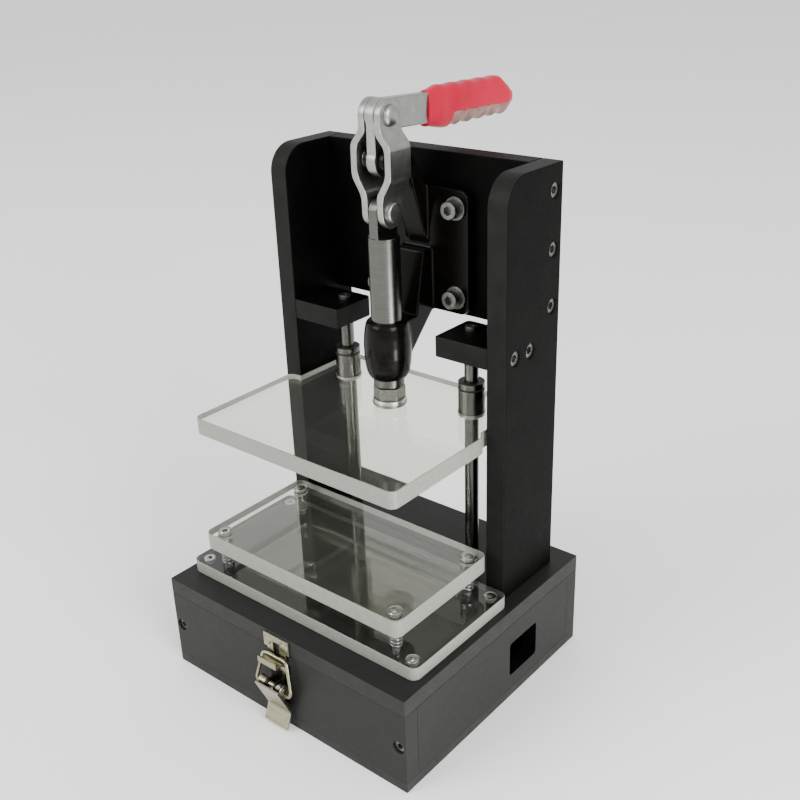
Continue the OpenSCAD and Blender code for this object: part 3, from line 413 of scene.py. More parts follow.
def round_edges(bm: BMesh, width: float, segments: int = 2, over: float = 35.0,
                under: float = 181.0) -> None:
    """Rounds the edges whose faces meet at an angle in a range.

    Args:
        bm: Mesh to change.
        width: Width of the rounding.
        segments: Faces across it.
        over: Smallest angle between the faces, in degrees.
        under: Largest angle, in degrees.
    """
    low, high = math.radians(over), math.radians(under)
    edges = [e for e in bm.edges if len(e.link_faces) == 2 and low < e.calc_face_angle(0.0) < high]
    bmesh.ops.bevel(bm, geom=edges, offset=width, offset_type="OFFSET", segments=segments, profile=0.5,
                    affect="EDGES", clamp_overlap=False)
    bm.normal_update()


def cleaned(mesh: Mesh) -> BMesh:
    """Opens a mesh made by nodes, with its seams merged and its faces turned outwards.

    Args:
        mesh: Source, which is removed.

    Returns:
        The bmesh.
    """
    bm = bmesh.new()
    bm.from_mesh(mesh)
    bpy.data.meshes.remove(mesh)
    bmesh.ops.remove_doubles(bm, verts=bm.verts, dist=WELD)
    bmesh.ops.dissolve_degenerate(bm, edges=bm.edges, dist=WELD)
    bmesh.ops.recalc_face_normals(bm, faces=bm.faces)
    return bm


class Frame:
    """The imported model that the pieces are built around."""

    def __init__(self, loaded: Dict[str, Any]) -> None:
        """Keeps the nodes and the body of each."""
        self.nodes: Dict[str, bpy.types.Object] = loaded["nodes"]
        bodies = loaded["record"]["behaviour"]["bodies"]
        self.body_of: Dict[str, str] = {node: body for body, nodes in bodies.items() for node in nodes}

    def merged(self, node: str, flat: bool = True) -> BMesh:
        """Copies a node's mesh with its loose triangles merged.

        Args:
            node: Name of the node.
            flat: Whether triangles in one plane are joined to larger faces.

        Returns:
            The copy.
        """
        bm = bmesh.new()
        bm.from_mesh(self.nodes[node].data)
        bmesh.ops.remove_doubles(bm, verts=bm.verts, dist=WELD)
        if flat:
            bmesh.ops.dissolve_limit(bm, angle_limit=math.radians(FLAT), verts=bm.verts, edges=bm.edges)
        bm.normal_update()
        return bm

    def islands(self, node: str) -> List[Box]:
        """Measures the loose parts of a node.

        Args:
            node: Name of the node.

        Returns:
            The lowest and highest corner of each part.
        """
        bm = self.merged(node, flat=False)
        seen, boxes = set(), []
        for start in bm.verts:
            if start in seen:
                continue
            stack, part = [start], []
            seen.add(start)
            while stack:
                vert = stack.pop()
                part.append(vert.co.copy())
                for edge in vert.link_edges:
                    other = edge.other_vert(vert)
                    if other not in seen:
                        seen.add(other)
                        stack.append(other)
            boxes.append((Vector(map(min, *part)), Vector(map(max, *part))))
        bm.free()
        return boxes


@dataclass
class Tree:
    """A Geometry Nodes tree with named inputs, and the way to run it."""

    name: str
    sizes: Sequence[str]
    counts: Sequence[str] = ()
    group: bpy.types.GeometryNodeTree = field(init=False)
    book: NodeBook = field(init=False)
    given: bpy.types.Node = field(init=False)

    def __post_init__(self) -> None:
        """Makes the empty tree with its inputs."""
        self.group = bpy.data.node_groups.new(self.name, "GeometryNodeTree")
        face = self.group.interface
        face.new_socket("Geometry", in_out="OUTPUT", socket_type="NodeSocketGeometry")
        kinds = {"Geometry": "Geometry", "Material": "Material"}
        kinds.update({label: "Float" for label in self.sizes})
        kinds.update({label: "Int" for label in self.counts})
        for label, kind in kinds.items():
            face.new_socket(label, in_out="INPUT", socket_type="NodeSocket" + kind)
        self.book = NodeBook(self.group)
        self.given = self.book.add("NodeGroupInput")

    def take(self, label: str) -> Socket:
        """Gives the socket of a named input."""
        return self.given.outputs[label]

    def close(self, shape: Socket) -> None:
        """Ends the tree with real geometry that has the material.

        Args:
            shape: Geometry to hand out.
        """
        real = self.book.out("GeometryNodeRealizeInstances", {"Geometry": shape})
        done = self.book.out("GeometryNodeSetMaterial", {"Geometry": real, "Material": self.take("Material")})
        self.book.add("NodeGroupOutput", {"Geometry": done})

    def on_points(self, shape: Socket) -> None:
        """Ends the tree with the shape on each point, turned by the point's aim and spin.

        Args:
            shape: One shape, with its head along +Z.
        """
        book = self.book
        aim = book.out("GeometryNodeInputNamedAttribute", {"Name": "aim"}, data_type="FLOAT_VECTOR")
        spin = book.out("GeometryNodeInputNamedAttribute", {"Name": "spin"}, data_type="FLOAT")
        facing = book.out("FunctionNodeAlignRotationToVector", {"Vector": aim}, axis="Z")
        twist = book.out("FunctionNodeAxisAngleToRotation", {"Axis": (0, 0, 1), "Angle": spin})
        turned = book.out("FunctionNodeRotateRotation", {0: facing, 1: twist}, rotation_space="LOCAL")
        self.close(book.out("GeometryNodeInstanceOnPoints", {
            "Points": self.take("Geometry"), "Instance": shape, "Rotation": turned}))

    def run(self, name: str, source: Mesh, finish: Finish, **sizes: float) -> Mesh:
        """Runs the tree on a mesh.

        Args:
            name: Name of the result.
            source: Points or path to start from.
            finish: Finish of the result.
            sizes: Values of the inputs, by label with _ for a space.

        Returns:
            A plain mesh with outward faces.
        """
        obj = linked(name + "_source", source)
        modifier = obj.modifiers.new(self.name, "NODES")
        modifier.node_group = self.group
        wanted = {label.replace("_", " "): value for label, value in sizes.items()}
        wanted["Material"] = finish.material()
        for item in self.group.interface.items_tree:
            if item.in_out == "INPUT" and item.name in wanted:
                modifier[item.identifier] = wanted[item.name]
        mesh = settled(name, cleaned(evaluated(obj)))
        if not mesh.materials:
            mesh.materials.append(finish.material())
        return mesh


def socket_screw_tree() -> Tree:
    """Writes the tree of a hex socket screw, head up, with its top at the point.

    Returns:
        A tree that sets one screw on each point.
    """
    tree = Tree("socket_screws", (
        "Top Radius", "Rim Depth", "Head Radius", "Head Depth", "Shank Radius", "Shank Length",
        "Socket Radius", "Socket Depth", "Knurl Share"), counts=("Knurls",))
    book, take = tree.book, tree.take
    inner_share = book.math("SUBTRACT", 1.0, take("Knurl Share"))

    def star(radius: Socket) -> Socket:
        """Draws the knurled outline at a radius."""
        inner = book.math("MULTIPLY", radius, inner_share)
        return book.out("GeometryNodeCurveStar", {
            "Points": take("Knurls"), "Inner Radius": inner, "Outer Radius": radius, "Twist": 0.0})

    def wall(mesh: Socket, chosen: Optional[Socket], depth: Any, ratio: Any) -> Tuple[Socket, Socket]:
        """Pulls edges down by a depth and scales the new ring."""
        values = {"Mesh": mesh, "Offset": book.drop(depth)}
        if chosen is not None:
            values["Selection"] = chosen
        pulled = book.add("GeometryNodeExtrudeMesh", values, mode="EDGES")
        ring = pulled.outputs["Top"]
        scaled = book.out("GeometryNodeScaleElements", {
            "Geometry": pulled.outputs["Mesh"], "Selection": ring, "Scale": ratio}, domain="EDGE")
        return scaled, ring

    def lowered(curve: Socket, depth: Any) -> Socket:
        """Fills a curve and sets it lower by a depth."""
        flat = book.out("GeometryNodeFillCurve", {"Curve": curve})
        return book.out("GeometryNodeTransform", {"Geometry": flat, "Translation": book.drop(depth)})

    top = star(take("Top Radius"))
    hexagon = book.out("GeometryNodeCurvePrimitiveCircle", {"Resolution": 6, "Radius": take("Socket Radius")})
    rim = book.out("GeometryNodeCurveToMesh", {"Curve": top})
    flare = book.math("DIVIDE", take("Head Radius"), take("Top Radius"))
    neck = book.math("DIVIDE", take("Shank Radius"), take("Head Radius"))
    side, ring = wall(rim, None, take("Rim Depth"), flare)
    side, ring = wall(side, ring, book.math("SUBTRACT", take("Head Depth"), take("Rim Depth")), 1.0)
    side, ring = wall(side, ring, 0.0, neck)
    side, _ = wall(side, ring, take("Shank Length"), 1.0)
    end = lowered(star(take("Shank Radius")), book.math("ADD", take("Head Depth"), take("Shank Length")))
    both = book.out("GeometryNodeJoinGeometry", {"Geometry": [top, hexagon]})
    face = book.out("GeometryNodeFillCurve", {"Curve": both})
    socket = book.out("GeometryNodeCurveToMesh", {"Curve": hexagon})
    socket, _ = wall(socket, None, take("Socket Depth"), 1.0)
    floor = lowered(hexagon, take("Socket Depth"))
    parts = book.out("GeometryNodeJoinGeometry", {"Geometry": [side, end, face, socket, floor]})
    tree.on_points(book.out("GeometryNodeMergeByDistance", {"Geometry": parts, "Distance": WELD}))
    return tree


def rivet_tree() -> Tree:
    """Writes the tree of a domed rivet, head up, with its shank below the point.

    Returns:
        A tree that sets one rivet on each point.
    """
    tree = Tree("domed_rivets", ("Head Radius", "Head Height", "Shank Radius", "Shank Length", "Fullness"))
    book, take = tree.book, tree.take
    ball = book.out("GeometryNodeMeshUVSphere", {"Segments": 40, "Rings": 24, "Radius": 1.0})
    place = book.out("GeometryNodeInputPosition")
    split = book.add("ShaderNodeSeparateXYZ", {0: place})
    crown = book.math("POWER", book.math("MAXIMUM", split.outputs[2], 0.0), take("Fullness"))
    moved = book.out("ShaderNodeCombineXYZ", {
        "X": book.math("MULTIPLY", split.outputs[0], take("Head Radius")),
        "Y": book.math("MULTIPLY", split.outputs[1], take("Head Radius")),
        "Z": book.math("MULTIPLY", crown, take("Head Height"))})
    head = book.out("GeometryNodeSetPosition", {"Geometry": ball, "Position": moved})
    shank = book.out("GeometryNodeMeshCylinder", {
        "Vertices": 32, "Radius": take("Shank Radius"), "Depth": take("Shank Length")})
    half = book.math("MULTIPLY", take("Shank Length"), 0.5)
    shank = book.out("GeometryNodeTransform", {"Geometry": shank, "Translation": book.drop(half)})
    tree.on_points(book.out("GeometryNodeJoinGeometry", {"Geometry": [head, shank]}))
    return tree


def coil_tree() -> Tree:
    """Writes the tree of a coil spring that stands on the point.

    Returns:
        A tree that sets one spring on each point.
    """
    tree = Tree("coil_springs", ("Coil Radius", "Wire Radius", "Rise", "Turns"))
    book, take = tree.book, tree.take
    path = book.out("GeometryNodeCurveSpiral", {
        "Resolution": 40, "Rotations": take("Turns"), "Start Radius": take("Coil Radius"),
        "End Radius": take("Coil Radius"), "Height": take("Rise")})
    ring = book.out("GeometryNodeCurvePrimitiveCircle", {"Resolution": 12, "Radius": take("Wire Radius")})
    wire = book.out("GeometryNodeCurveToMesh", {"Curve": path, "Profile Curve": ring, "Fill Caps": True})
    up = book.out("ShaderNodeCombineXYZ", {"Z": take("Wire Radius")})
    tree.on_points(book.out("GeometryNodeTransform", {"Geometry": wire, "Translation": up}))
    return tree


def bent_wire_tree() -> Tree:
    """Writes the tree of a round wire along a path, with round bends.

    Returns:
        A tree that makes a wire of each path.
    """
    tree = Tree("bent_wire", ("Wire Radius", "Bend Radius"))
    book, take = tree.book, tree.take
    path = book.out("GeometryNodeMeshToCurve", {0: take("Geometry")})
    bent = book.out("GeometryNodeFilletCurve", {
        "Curve": path, "Radius": take("Bend Radius"), "Count": 8, "Limit Radius": True}, mode="POLY")
    ring = book.out("GeometryNodeCurvePrimitiveCircle", {"Resolution": 20, "Radius": take("Wire Radius")})
    tree.close(book.out("GeometryNodeCurveToMesh", {
        "Curve": bent, "Profile Curve": ring, "Fill Caps": True}))
    return tree


class Kit:
    """The Geometry Nodes trees that the sub-assemblies share."""

    def __init__(self) -> None:
        """Writes each tree once."""
        self.screws = socket_screw_tree()
        self.rivets = rivet_tree()
        self.coils = coil_tree()
        self.wires = bent_wire_tree()


def point_mesh(name: str, places: Sequence[Place], seed: int) -> Mesh:
    """Makes the points on which a tree sets its shapes.

    Args:
        name: Name of the mesh.
        places: Position and aim of each point.
        seed: Seed of the turns about the aim.

    Returns:
        A mesh of points with the attributes aim and spin.
    """
    mesh = bpy.data.meshes.new(name)
    mesh.from_pydata([tuple(at) for at, _ in places], [], [])
    turns = random.Random(seed)
    mesh.attributes.new("aim", "FLOAT_VECTOR", "POINT")
    mesh.attributes.new("spin", "FLOAT", "POINT")
    for index, (_, aim) in enumerate(places):
        mesh.attributes["aim"].data[index].vector = aim
        mesh.attributes["spin"].data[index].value = turns.uniform(0.0, math.pi)
    return mesh


def path_mesh(name: str, points: Sequence[Vector]) -> Mesh:
    """Makes an open path of edges.

    Args:
        name: Name of the mesh.
        points: Points of the path, in order.

    Returns:
        The mesh.
    """
    mesh = bpy.data.meshes.new(name)
    mesh.from_pydata([tuple(p) for p in points], [(i, i + 1) for i in range(len(points) - 1)], [])
    return mesh


def finished(node: str) -> str:
    """Gives the name of the piece that stands for a node."""
    return node + "_finished"


@dataclass
class Piece:
    """A finished mesh that stands for CAD nodes of one body."""

    name: str
    mesh: Mesh
    nodes: Tuple[str, ...]
    slot: str
    finishes: Tuple[Finish, ...] = ()


@dataclass
class SubAssembly:
    """What the sub-assemblies share: their frame, their kit and the way to dress a piece."""

    frame: Frame
    kit: Kit
    pieces: List[Piece] = field(default_factory=list)
    objects: Dict[str, bpy.types.Object] = field(default_factory=dict)

    def build(self) -> None:
        """Makes the meshes of the sub-assembly."""
        raise NotImplementedError

    def dress(self) -> None:
        """Puts each piece on its body, in place of its nodes and with its finishes."""
        for piece in self.pieces:
            for finish in piece.finishes:
                piece.mesh.materials.append(finish.material())
            obj = linked(piece.name, piece.mesh)
            body = self.frame.body_of[piece.nodes[0]]
            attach(obj, body)
            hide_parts(*piece.nodes)
            self.objects[piece.name] = obj
            LOG.info("%s on %s: %d faces", piece.name, body, len(piece.mesh.polygons))

    def stand(self, node: str, mesh: Mesh, slot: str, *finishes: Finish) -> None:
        """Lets a mesh stand for a node, with a slot of the record and the finishes that it lacks."""
        self.pieces.append(Piece(finished(node), mesh, (node,), slot, finishes))

    def keep(self, node: str, bm: BMesh, slot: str, *finishes: Finish) -> None:
        """Settles a bmesh to stand for a node, with its finishes in the order of material indices."""
        self.stand(node, settled(finished(node), bm), slot, *finishes)

    def board(self, node: str, thin: Axis, width: float, face: Finish = BOARD,
              edge: Finish = BOARD_SAWN) -> None:
        """Finishes a board: rounded edges, and one finish for its faces and one for its sawn sides.

        Args:
            node: Name of the node.
            thin: Axis of its thickness.
            width: Width of the rounding.
            face: Finish of its two faces.
            edge: Finish of its sides and holes.
        """
        bm = self.frame.merged(node)
        round_edges(bm, width)
        for one in bm.faces:
            one.material_index = 0 if abs(one.normal[thin.value]) > FACING else 1
        self.keep(node, bm, "black_board", face, edge)

    def metal(self, node: str, width: float, slot: str, finish: Finish, bend: float = 0.0) -> None:
        """Finishes a metal piece with rounded edges.

        Args:
            node: Name of the node.
            width: Width of the rounding.
            slot: Material slot of the record.
            finish: Its finish.
            bend: Width of the rounding at bends, where it is sheet or bar.
        """
        bm = self.frame.merged(node)
        if bend:
            round_edges(bm, bend, segments=5, over=BEND[0], under=BEND[1])
        round_edges(bm, width, over=STEEL_EDGE)
        self.keep(node, bm, slot, finish)

    def screws(self, node: str, head: Head, thread: float, aim: Aim, head_h: float = 0.0,
               finish: Finish = SCREW) -> None:
        """Makes a set of socket screws where the node's screws are.

        Args:
            node: Name of the node.
            head: Kind of head.
            thread: Diameter of the thread.
            aim: Where the heads point.
            head_h: Height of a cap head, or 0 for the height of the thread's diameter.
            finish: Their finish.
        """
        places, lengths, widths = [], [], []
        for low, high in self.frame.islands(node):
            centre, size = (low + high) / 2, high - low
            toward = aim.toward(centre)
            along = max(range(3), key=lambda i: abs(toward[i]))
            places.append((centre + toward * size[along] / 2, toward))
            lengths.append(size[along])
            widths.append(max(size[i] for i in range(3) if i != along))
        radius, length, shape = widths[0] / 2, lengths[0], head.value
        if head is Head.CAP:
            tall = head_h or thread
            rim, depth = radius * CAP_RIM, tall
        else:
            tall = radius - thread / 2
            rim, depth = SUNK_RIM, SUNK_LAND
        name = finished(node)
        source = point_mesh(name + "_points", places, seed=len(name))
        self.stand(node, self.kit.screws.run(
            name, source, finish, Top_Radius=radius * shape.top, Rim_Depth=rim, Head_Radius=radius,
            Head_Depth=depth, Shank_Radius=thread / 2, Shank_Length=length - depth,
            Socket_Radius=thread * shape.socket, Socket_Depth=tall * shape.socket_depth,
            Knurls=shape.knurls, Knurl_Share=shape.knurl_share), "screw_steel")

    def rivets(self, node: str, places: Sequence[Place], finish: Finish, slot: str,
               **sizes: float) -> None:
        """Makes a set of domed rivets.

        Args:
            node: Name of the node that they stand for.
            places: Foot of each head, and where it points.
            finish: Their finish.
            slot: Material slot of the record.
            sizes: Inputs of the rivet tree.
        """
        name = finished(node)
        source = point_mesh(name + "_points", places, seed=len(name))
        self.stand(node, self.kit.rivets.run(name, source, finish, **sizes), slot)


@dataclass
class WiringBox(SubAssembly):
    """The box under the lid, with its hinges."""

    edge: float = 0.25 * MM
    leaf_edge: float = 0.2 * MM
    pin_edge: float = 0.3 * MM

    def build(self) -> None:
        """Makes the panels, their screws and the hinges."""
        self.board("bottom_plate", Axis.Z, self.edge)
        for node, thin in (("front_panel", Axis.Y), ("rear_panel", Axis.Y), ("left_panel", Axis.X)):
            self.board(node, thin, self.edge, edge=BOARD)
        # The right panel's sides and the walls of its cable slot take the darker board: painted shade in the
        # slot
        self.board("right_panel", Axis.X, self.edge, edge=BOARD_SHADED)
        self.screws("panel_screws", Head.CAP, M4, Aim.ENDS)
        self.screws("bottom_screws", Head.SUNK, M4, Aim.DOWN)
        self.screws("hinge_base_screws", Head.SUNK, M3, Aim.BACK)
        self.screws("hinge_lid_screws", Head.SUNK, M2_5, Aim.BACK)
        for node in ("hinge_base_leaves", "hinge_lid_leaves"):
            self.metal(node, self.leaf_edge, "zinc_steel", ZINC)
        self.metal("hinge_pins", self.pin_edge, "ground_steel", GROUND)


@dataclass
class DrawLatch(SubAssembly):
    """The draw latch on the front: base plate, lever, wire bail, spring and keeper."""

    sheet_edge: float = 0.18 * MM
    lever_bend: float = 1.6 * MM
    pin_edge: float = 0.25 * MM
    wire: float = 2.0 * MM
    bail_half: float = 14 * MM
    bail_top_half: float = 9 * MM
    bail_in_half: float = 7.8 * MM
    bail_bend: float = 3.0 * MM
    rivet_head: float = 2.7 * MM
    rivet_rise: float = 0.8 * MM
    rivet_shank: float = 1.5 * MM
    rivet_fullness: float = 0.9
    coil_wire: float = 0.8 * MM
    coil_turns: float = 3.0

    def build(self) -> None:
        """Makes the sheet pieces, the rivets, the bail and the spring."""
        # The base plate takes the darkened copy of the plating: painted shadow
        self.metal("latch_plate", self.sheet_edge, "latch_nickel", NICKEL_SHADOWED)
        self.metal("latch_lever", self.sheet_edge, "latch_nickel", NICKEL, bend=self.lever_bend)
        self.metal("keeper", self.sheet_edge, "latch_nickel", NICKEL)
        self.metal("latch_pin", self.pin_edge, "latch_nickel", NICKEL)
        for node in ("latch_rivets", "keeper_rivets"):
            self.trim_rivets(node)
        self.bail()
        self.spring()

    def trim_rivets(self, node: str) -> None:
        """Sets low rivets where the node's are.

        Args:
            node: Name of the node.
        """
        places, depth = [], 0.0
        for low, high in self.frame.islands(node):
            centre = (low + high) / 2
            places.append((Vector((centre.x, low.y + self.rivet_rise, centre.z)), Aim.FRONT.toward(centre)))
            depth = high.y - low.y - self.rivet_rise
        self.rivets(node, places, NICKEL, "latch_nickel", Head_Radius=self.rivet_head,
                    Head_Height=self.rivet_rise, Fullness=self.rivet_fullness,
                    Shank_Radius=self.rivet_shank, Shank_Length=depth)

    def bail(self) -> None:
        """Bends the bail from one wire, through the middle line of the node's own wire."""
        low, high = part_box("latch_bail")
        half, top_half, in_half = self.bail_half, self.bail_top_half, self.bail_in_half
        r = self.wire / 2
        foot_y, foot_z = low.y + r, low.z + r
        bar_y, bar_z = high.y - r, high.z - r
        path = [Vector(p) for p in (
            (-in_half, foot_y, foot_z), (-half, foot_y, foot_z), (-top_half, bar_y, bar_z),
            (top_half, bar_y, bar_z), (half, foot_y, foot_z), (in_half, foot_y, foot_z))]
        name = finished("latch_bail")
        mesh = self.kit.wires.run(name, path_mesh(name + "_path", path), NICKEL,
                                  Wire_Radius=r, Bend_Radius=self.bail_bend)
        self.stand("latch_bail", mesh, "latch_nickel")

    def spring(self) -> None:
        """Winds the torsion spring on the latch pin."""
        low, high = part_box("latch_spring")
        centre = (low + high) / 2
        r = self.coil_wire / 2
        places = [(Vector((low.x, centre.y, centre.z)), Vector((1, 0, 0)))]
        name = finished("latch_spring")
        mesh = self.kit.coils.run(name, point_mesh("latch_spring_point", places, seed=3), WIRE,
                                  Coil_Radius=(high.z - low.z) / 2 - r, Wire_Radius=r,
                                  Rise=high.x - low.x - self.coil_wire, Turns=self.coil_turns)
        self.stand("latch_spring", mesh, "spring_steel")


@dataclass
class Gantry(SubAssembly):
    """The lid with its uprights, back plate, rod blocks and guide rods."""

    edge: float = 0.6 * MM
    lid_edge: float = 0.3 * MM
    rod_edge: float = 0.4 * MM
    low_head: float = 2.2 * MM

    def build(self) -> None:
        """Makes the boards, the rods and all their screws."""
        self.board("lid_plate", Axis.Z, self.lid_edge)
        for node in ("left_upright", "right_upright"):
            # The uprights and rod blocks take the darker copy of the board: painted shade
            self.board(node, Axis.X, self.edge, face=BOARD_SHADED, edge=BOARD_SHADED_SAWN)
        # The back plate takes the darkest copy, with the darker board on its sides: painted shade between the
        # uprights
        self.board("back_plate", Axis.Y, self.edge, face=BOARD_BACK_SHADED, edge=BOARD_SHADED)
        for node in ("left_rod_block", "right_rod_block"):
            self.board(node, Axis.Z, self.edge, face=BOARD_SHADED, edge=BOARD_SHADED_SAWN)
        for node in ("left_guide_rod", "right_guide_rod"):
            self.metal(node, self.rod_edge, "ground_steel", GROUND)
        self.screws("upright_screws", Head.SUNK, M5, Aim.DOWN)
        self.screws("back_plate_screws", Head.CAP, M5, Aim.SIDES)
        self.screws("block_screws", Head.CAP, M5, Aim.SIDES)
        self.screws("rod_screws", Head.CAP, M4, Aim.UP, head_h=self.low_head)


@dataclass
class PlateStack(SubAssembly):
    """The clear probe plate and the clear carrier that floats over it on bolts and springs."""

    edge: float = 0.45 * MM
    bush_edge: float = 0.35 * MM
    spring_wire: float = 0.8 * MM
    spring_turns: float = 3.0
    travel: float = 4.0 * MM

    def build(self) -> None:
        """Makes the plates, the bolts, the bushes and the springs."""
        for node in ("probe_plate", "carrier_plate"):
            self.clear_plate(node, self.edge)
        self.screws("probe_screws", Head.CAP, M4, Aim.UP, finish=BRIGHT)
        self.screws("carrier_bolts", Head.CAP, M4, Aim.UP, finish=BRIGHT)
        self.metal("carrier_bushes", self.bush_edge, "ground_steel", BRIGHT)
        self.springs()

    def clear_plate(self, node: str, width: float, pocket: Optional[Box] = None) -> None:
        """Finishes a clear plate: polished faces, sawn sides and holes.

        Args:
            node: Name of the node.
            width: Width of the rounding.
            pocket: Box of a piece sunk in the plate, whose pocket walls take a dull grey that stands for that
                piece, darkened as painted shade.
        """
        bm = self.frame.merged(node)
        round_edges(bm, width)
        for one in bm.faces:
            one.material_index = 0 if abs(one.normal.z) > FACING else 1
            centre = one.calc_center_median()
            # Faces of the pocket take the grey that stands for the sunk foot: painted shade
            if pocket and all(pocket[0][i] < centre[i] < pocket[1][i] for i in range(3)):
                one.material_index = 2
        self.keep(node, bm, "clear_acrylic", ACRYLIC, ACRYLIC_SAWN, *((FOOT_SUNK_SHADE,) if pocket else ()))

    def springs(self) -> None:
        """Winds the four springs under the carrier."""
        boxes = self.frame.islands("carrier_springs")
        low, high = boxes[0]
        r = self.spring_wire / 2
        places = [(Vector(((a.x + b.x) / 2, (a.y + b.y) / 2, a.z)), Vector((0, 0, 1))) for a, b in boxes]
        name = finished("carrier_springs")
        mesh = self.kit.coils.run(name, point_mesh(name + "_points", places, seed=5), WIRE,
                                  Coil_Radius=(high.x - low.x) / 2 - r, Wire_Radius=r,
                                  Rise=high.z - low.z - self.spring_wire, Turns=self.spring_turns)
        self.stand("carrier_springs", mesh, "spring_steel")

    def dress(self) -> None:
        """Dresses the plates, and gives the springs a mesh of their own."""
        super().dress()
        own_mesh(self.objects["carrier_springs_finished"])


@dataclass
class ToggleClamp(SubAssembly):
    """The toggle clamp: cast body, handle with its grip, links and rivets."""

    voxel: float = 0.6 * MM
    blend_share: float = 0.5
    blend_rounds: int = 8
    pin_edge: float = 0.3 * MM
    bar_edge: float = 0.6 * MM
    link_bend: float = 2.6 * MM
    clamp_y: float = 19.5 * MM
    pin_z: float = 323 * MM
    tang_z: float = 273 * MM
    link_out: float = 7.3 * MM
    link_t: float = 4.0 * MM
    rivet_head: float = 5.5 * MM
    rivet_rise: float = 3.0 * MM
    rivet_fullness: float = 0.72
    tang_rise: float = 2.3 * MM
    tang_fullness: float = 0.35
    rivet_shank: float = 3.5 * MM
    droop: float = 2.9
    grip_from_pin: float = 36.5 * MM
    grip_l: float = 77 * MM
    grip_rows: int = 130
    grip_around: int = 128
    grip_power: float = 0.76
    rib_first: float = 11 * MM
    rib_pitch: float = 13 * MM
    rib_rise: float = 0.4 * MM
    hollow_from: float = 19 * MM
    hollow_pitch: float = 11.2 * MM
    hollow_power: float = 0.7
    hollow_depth: float = 0.11
    hollow_slant: float = 5 * MM
    band_over: float = 2 * MM
    band_ease: float = 5 * MM
    ledge_over: float = 0.06
    ledge_run: float = 0.1
    # Where the lower band starts, a share of the way down: wear with painted floor reflection
    wear_and_sheen_from: float = 0.2
    wear_and_sheen_ridge: float = 0.06
    band_sink: float = 0.045

    def build(self) -> None:
        """Makes the casting, the moving steel and the grip."""
        self.casting()
        self.screws("clamp_screws", Head.CAP, M6, Aim.FRONT)
        self.metal("clamp_washers", self.pin_edge, "screw_steel", SCREW)
        self.metal("pivot_pin", self.pin_edge, "zinc_steel", ZINC)
        self.metal("handle_bar", self.bar_edge, "zinc_steel", ZINC)
        for node in ("left_link", "right_link"):
            self.metal(node, self.bar_edge, "zinc_steel", ZINC, bend=self.link_bend)
        self.link_rivets("top_rivet", self.pin_z, self.link_out, self.rivet_rise, self.rivet_fullness)
        self.link_rivets("tang_rivets", self.tang_z, self.link_t, self.tang_rise, self.tang_fullness)
        self.keep("grip", self.grip(), "red_grip", VINYL, VINYL_WORN_SHEEN)

    def casting(self) -> None:
        """Blends the cast body's edges, as in a casting."""
        bm = self.frame.merged("clamp_body", flat=False)
        draft = bpy.data.meshes.new("clamp_body_draft")
        bm.to_mesh(draft)
        bm.free()
        obj = linked("clamp_body_draft", draft)
        skin = obj.modifiers.new("Skin", "REMESH")
        skin.mode = "VOXEL"
        skin.voxel_size = self.voxel
        blend = obj.modifiers.new("Blend", "SMOOTH")
        blend.factor = self.blend_share
        blend.iterations = self.blend_rounds
        self.keep("clamp_body", cleaned(evaluated(obj)), "black_casting", CASTING)

    def link_rivets(self, node: str, height: float, shank: float, rise: float, fullness: float) -> None:
        """Sets a rivet head on the outside of each link.

        Args:
            node: Name of the node.
            height: Height of the pin.
            shank: Length of the rivet inwards from the outer face of a link.
            rise: Height of a head.
            fullness: Share that makes a dome of the head near 1, and a flat button near 0.
        """
        places = [(Vector((s * self.link_out, self.clamp_y, height)), Vector((s, 0, 0))) for s in (-1, 1)]
        self.rivets(node, places, ZINC, "zinc_steel", Head_Radius=self.rivet_head, Head_Height=rise,
                    Shank_Radius=self.rivet_shank, Shank_Length=shank, Fullness=fullness)

    def grip_section(self, y: float) -> Tuple[float, float, float]:
        """Gives the half sizes of the grip at a distance from its mouth.

        Args:
            y: Distance along the grip.

        Returns:
            Height above, height below and half width.
        """
        def swell(amount: float, start: float, end: float) -> float:
            """Grows smoothly from 0 at one distance to an amount at another, all in mm."""
            t = min(1.0, max(0.0, (y / MM - start) / (end - start)))
            return amount * MM * t * t * (3 - 2 * t)

        def taper(amount: float, run: float) -> float:
            """Grows evenly from 0 to an amount over the last run of the grip, both in mm."""
            return amount * MM * max(0.0, (y - self.grip_l) / MM + run) / run

        # The outline: half sizes at the mouth, then each swell and taper by its amount and its place
        tail = self.grip_l / MM
        ribbed = (swell(1, 4, 12) - swell(1, tail - 14, tail - 9)) / MM
        ribs = self.rib_rise * ribbed * math.cos(2 * math.pi * (y - self.rib_first) / self.rib_pitch) / 2
        rise = 1.3 * min(MM, y / 62)
        above = 9.0 * MM + swell(1.7, 0, 12) + rise + ribs - taper(8.0, 11)
        below = 10.0 * MM + swell(2.0, 0, 16) - swell(1.5, 24, 65) - taper(6.5, 7)
        across = 4.4 * MM + swell(2.0, 0, 11) + swell(0.9, 15, 24) - swell(2.2, tail - 7, tail + 3)
        return above, below, across

    def band(self, y: float) -> float:
        """Gives how far the lower band, worn and with painted floor reflection, has set in, from 0 outside it
        to 1.
        """
        inside = (y - self.hollow_from + self.band_over, self.grip_l - self.band_over - y)
        return math.prod(min(1.0, max(0.0, way / self.band_ease)) for way in inside)

    def hollow(self, y: float, low: float) -> float:
        """Gives how deep the finger hollows are, from 0 on a ridge to 1, at a share of the way down."""
        along = y + self.hollow_slant * low - self.hollow_from
        return self.band(y) * abs(math.sin(math.pi * along / self.hollow_pitch)) ** self.hollow_power

    def grip(self) -> BMesh:
        """Lofts the dipped grip along the bar, with ribs above and finger hollows below.

        Returns:
            A closed mesh in the frame, its hollowed half with the second finish.
        """
        bm = bmesh.new()
        last = self.grip_l
        along = [last * i / self.grip_rows for i in range(1, self.grip_rows)]
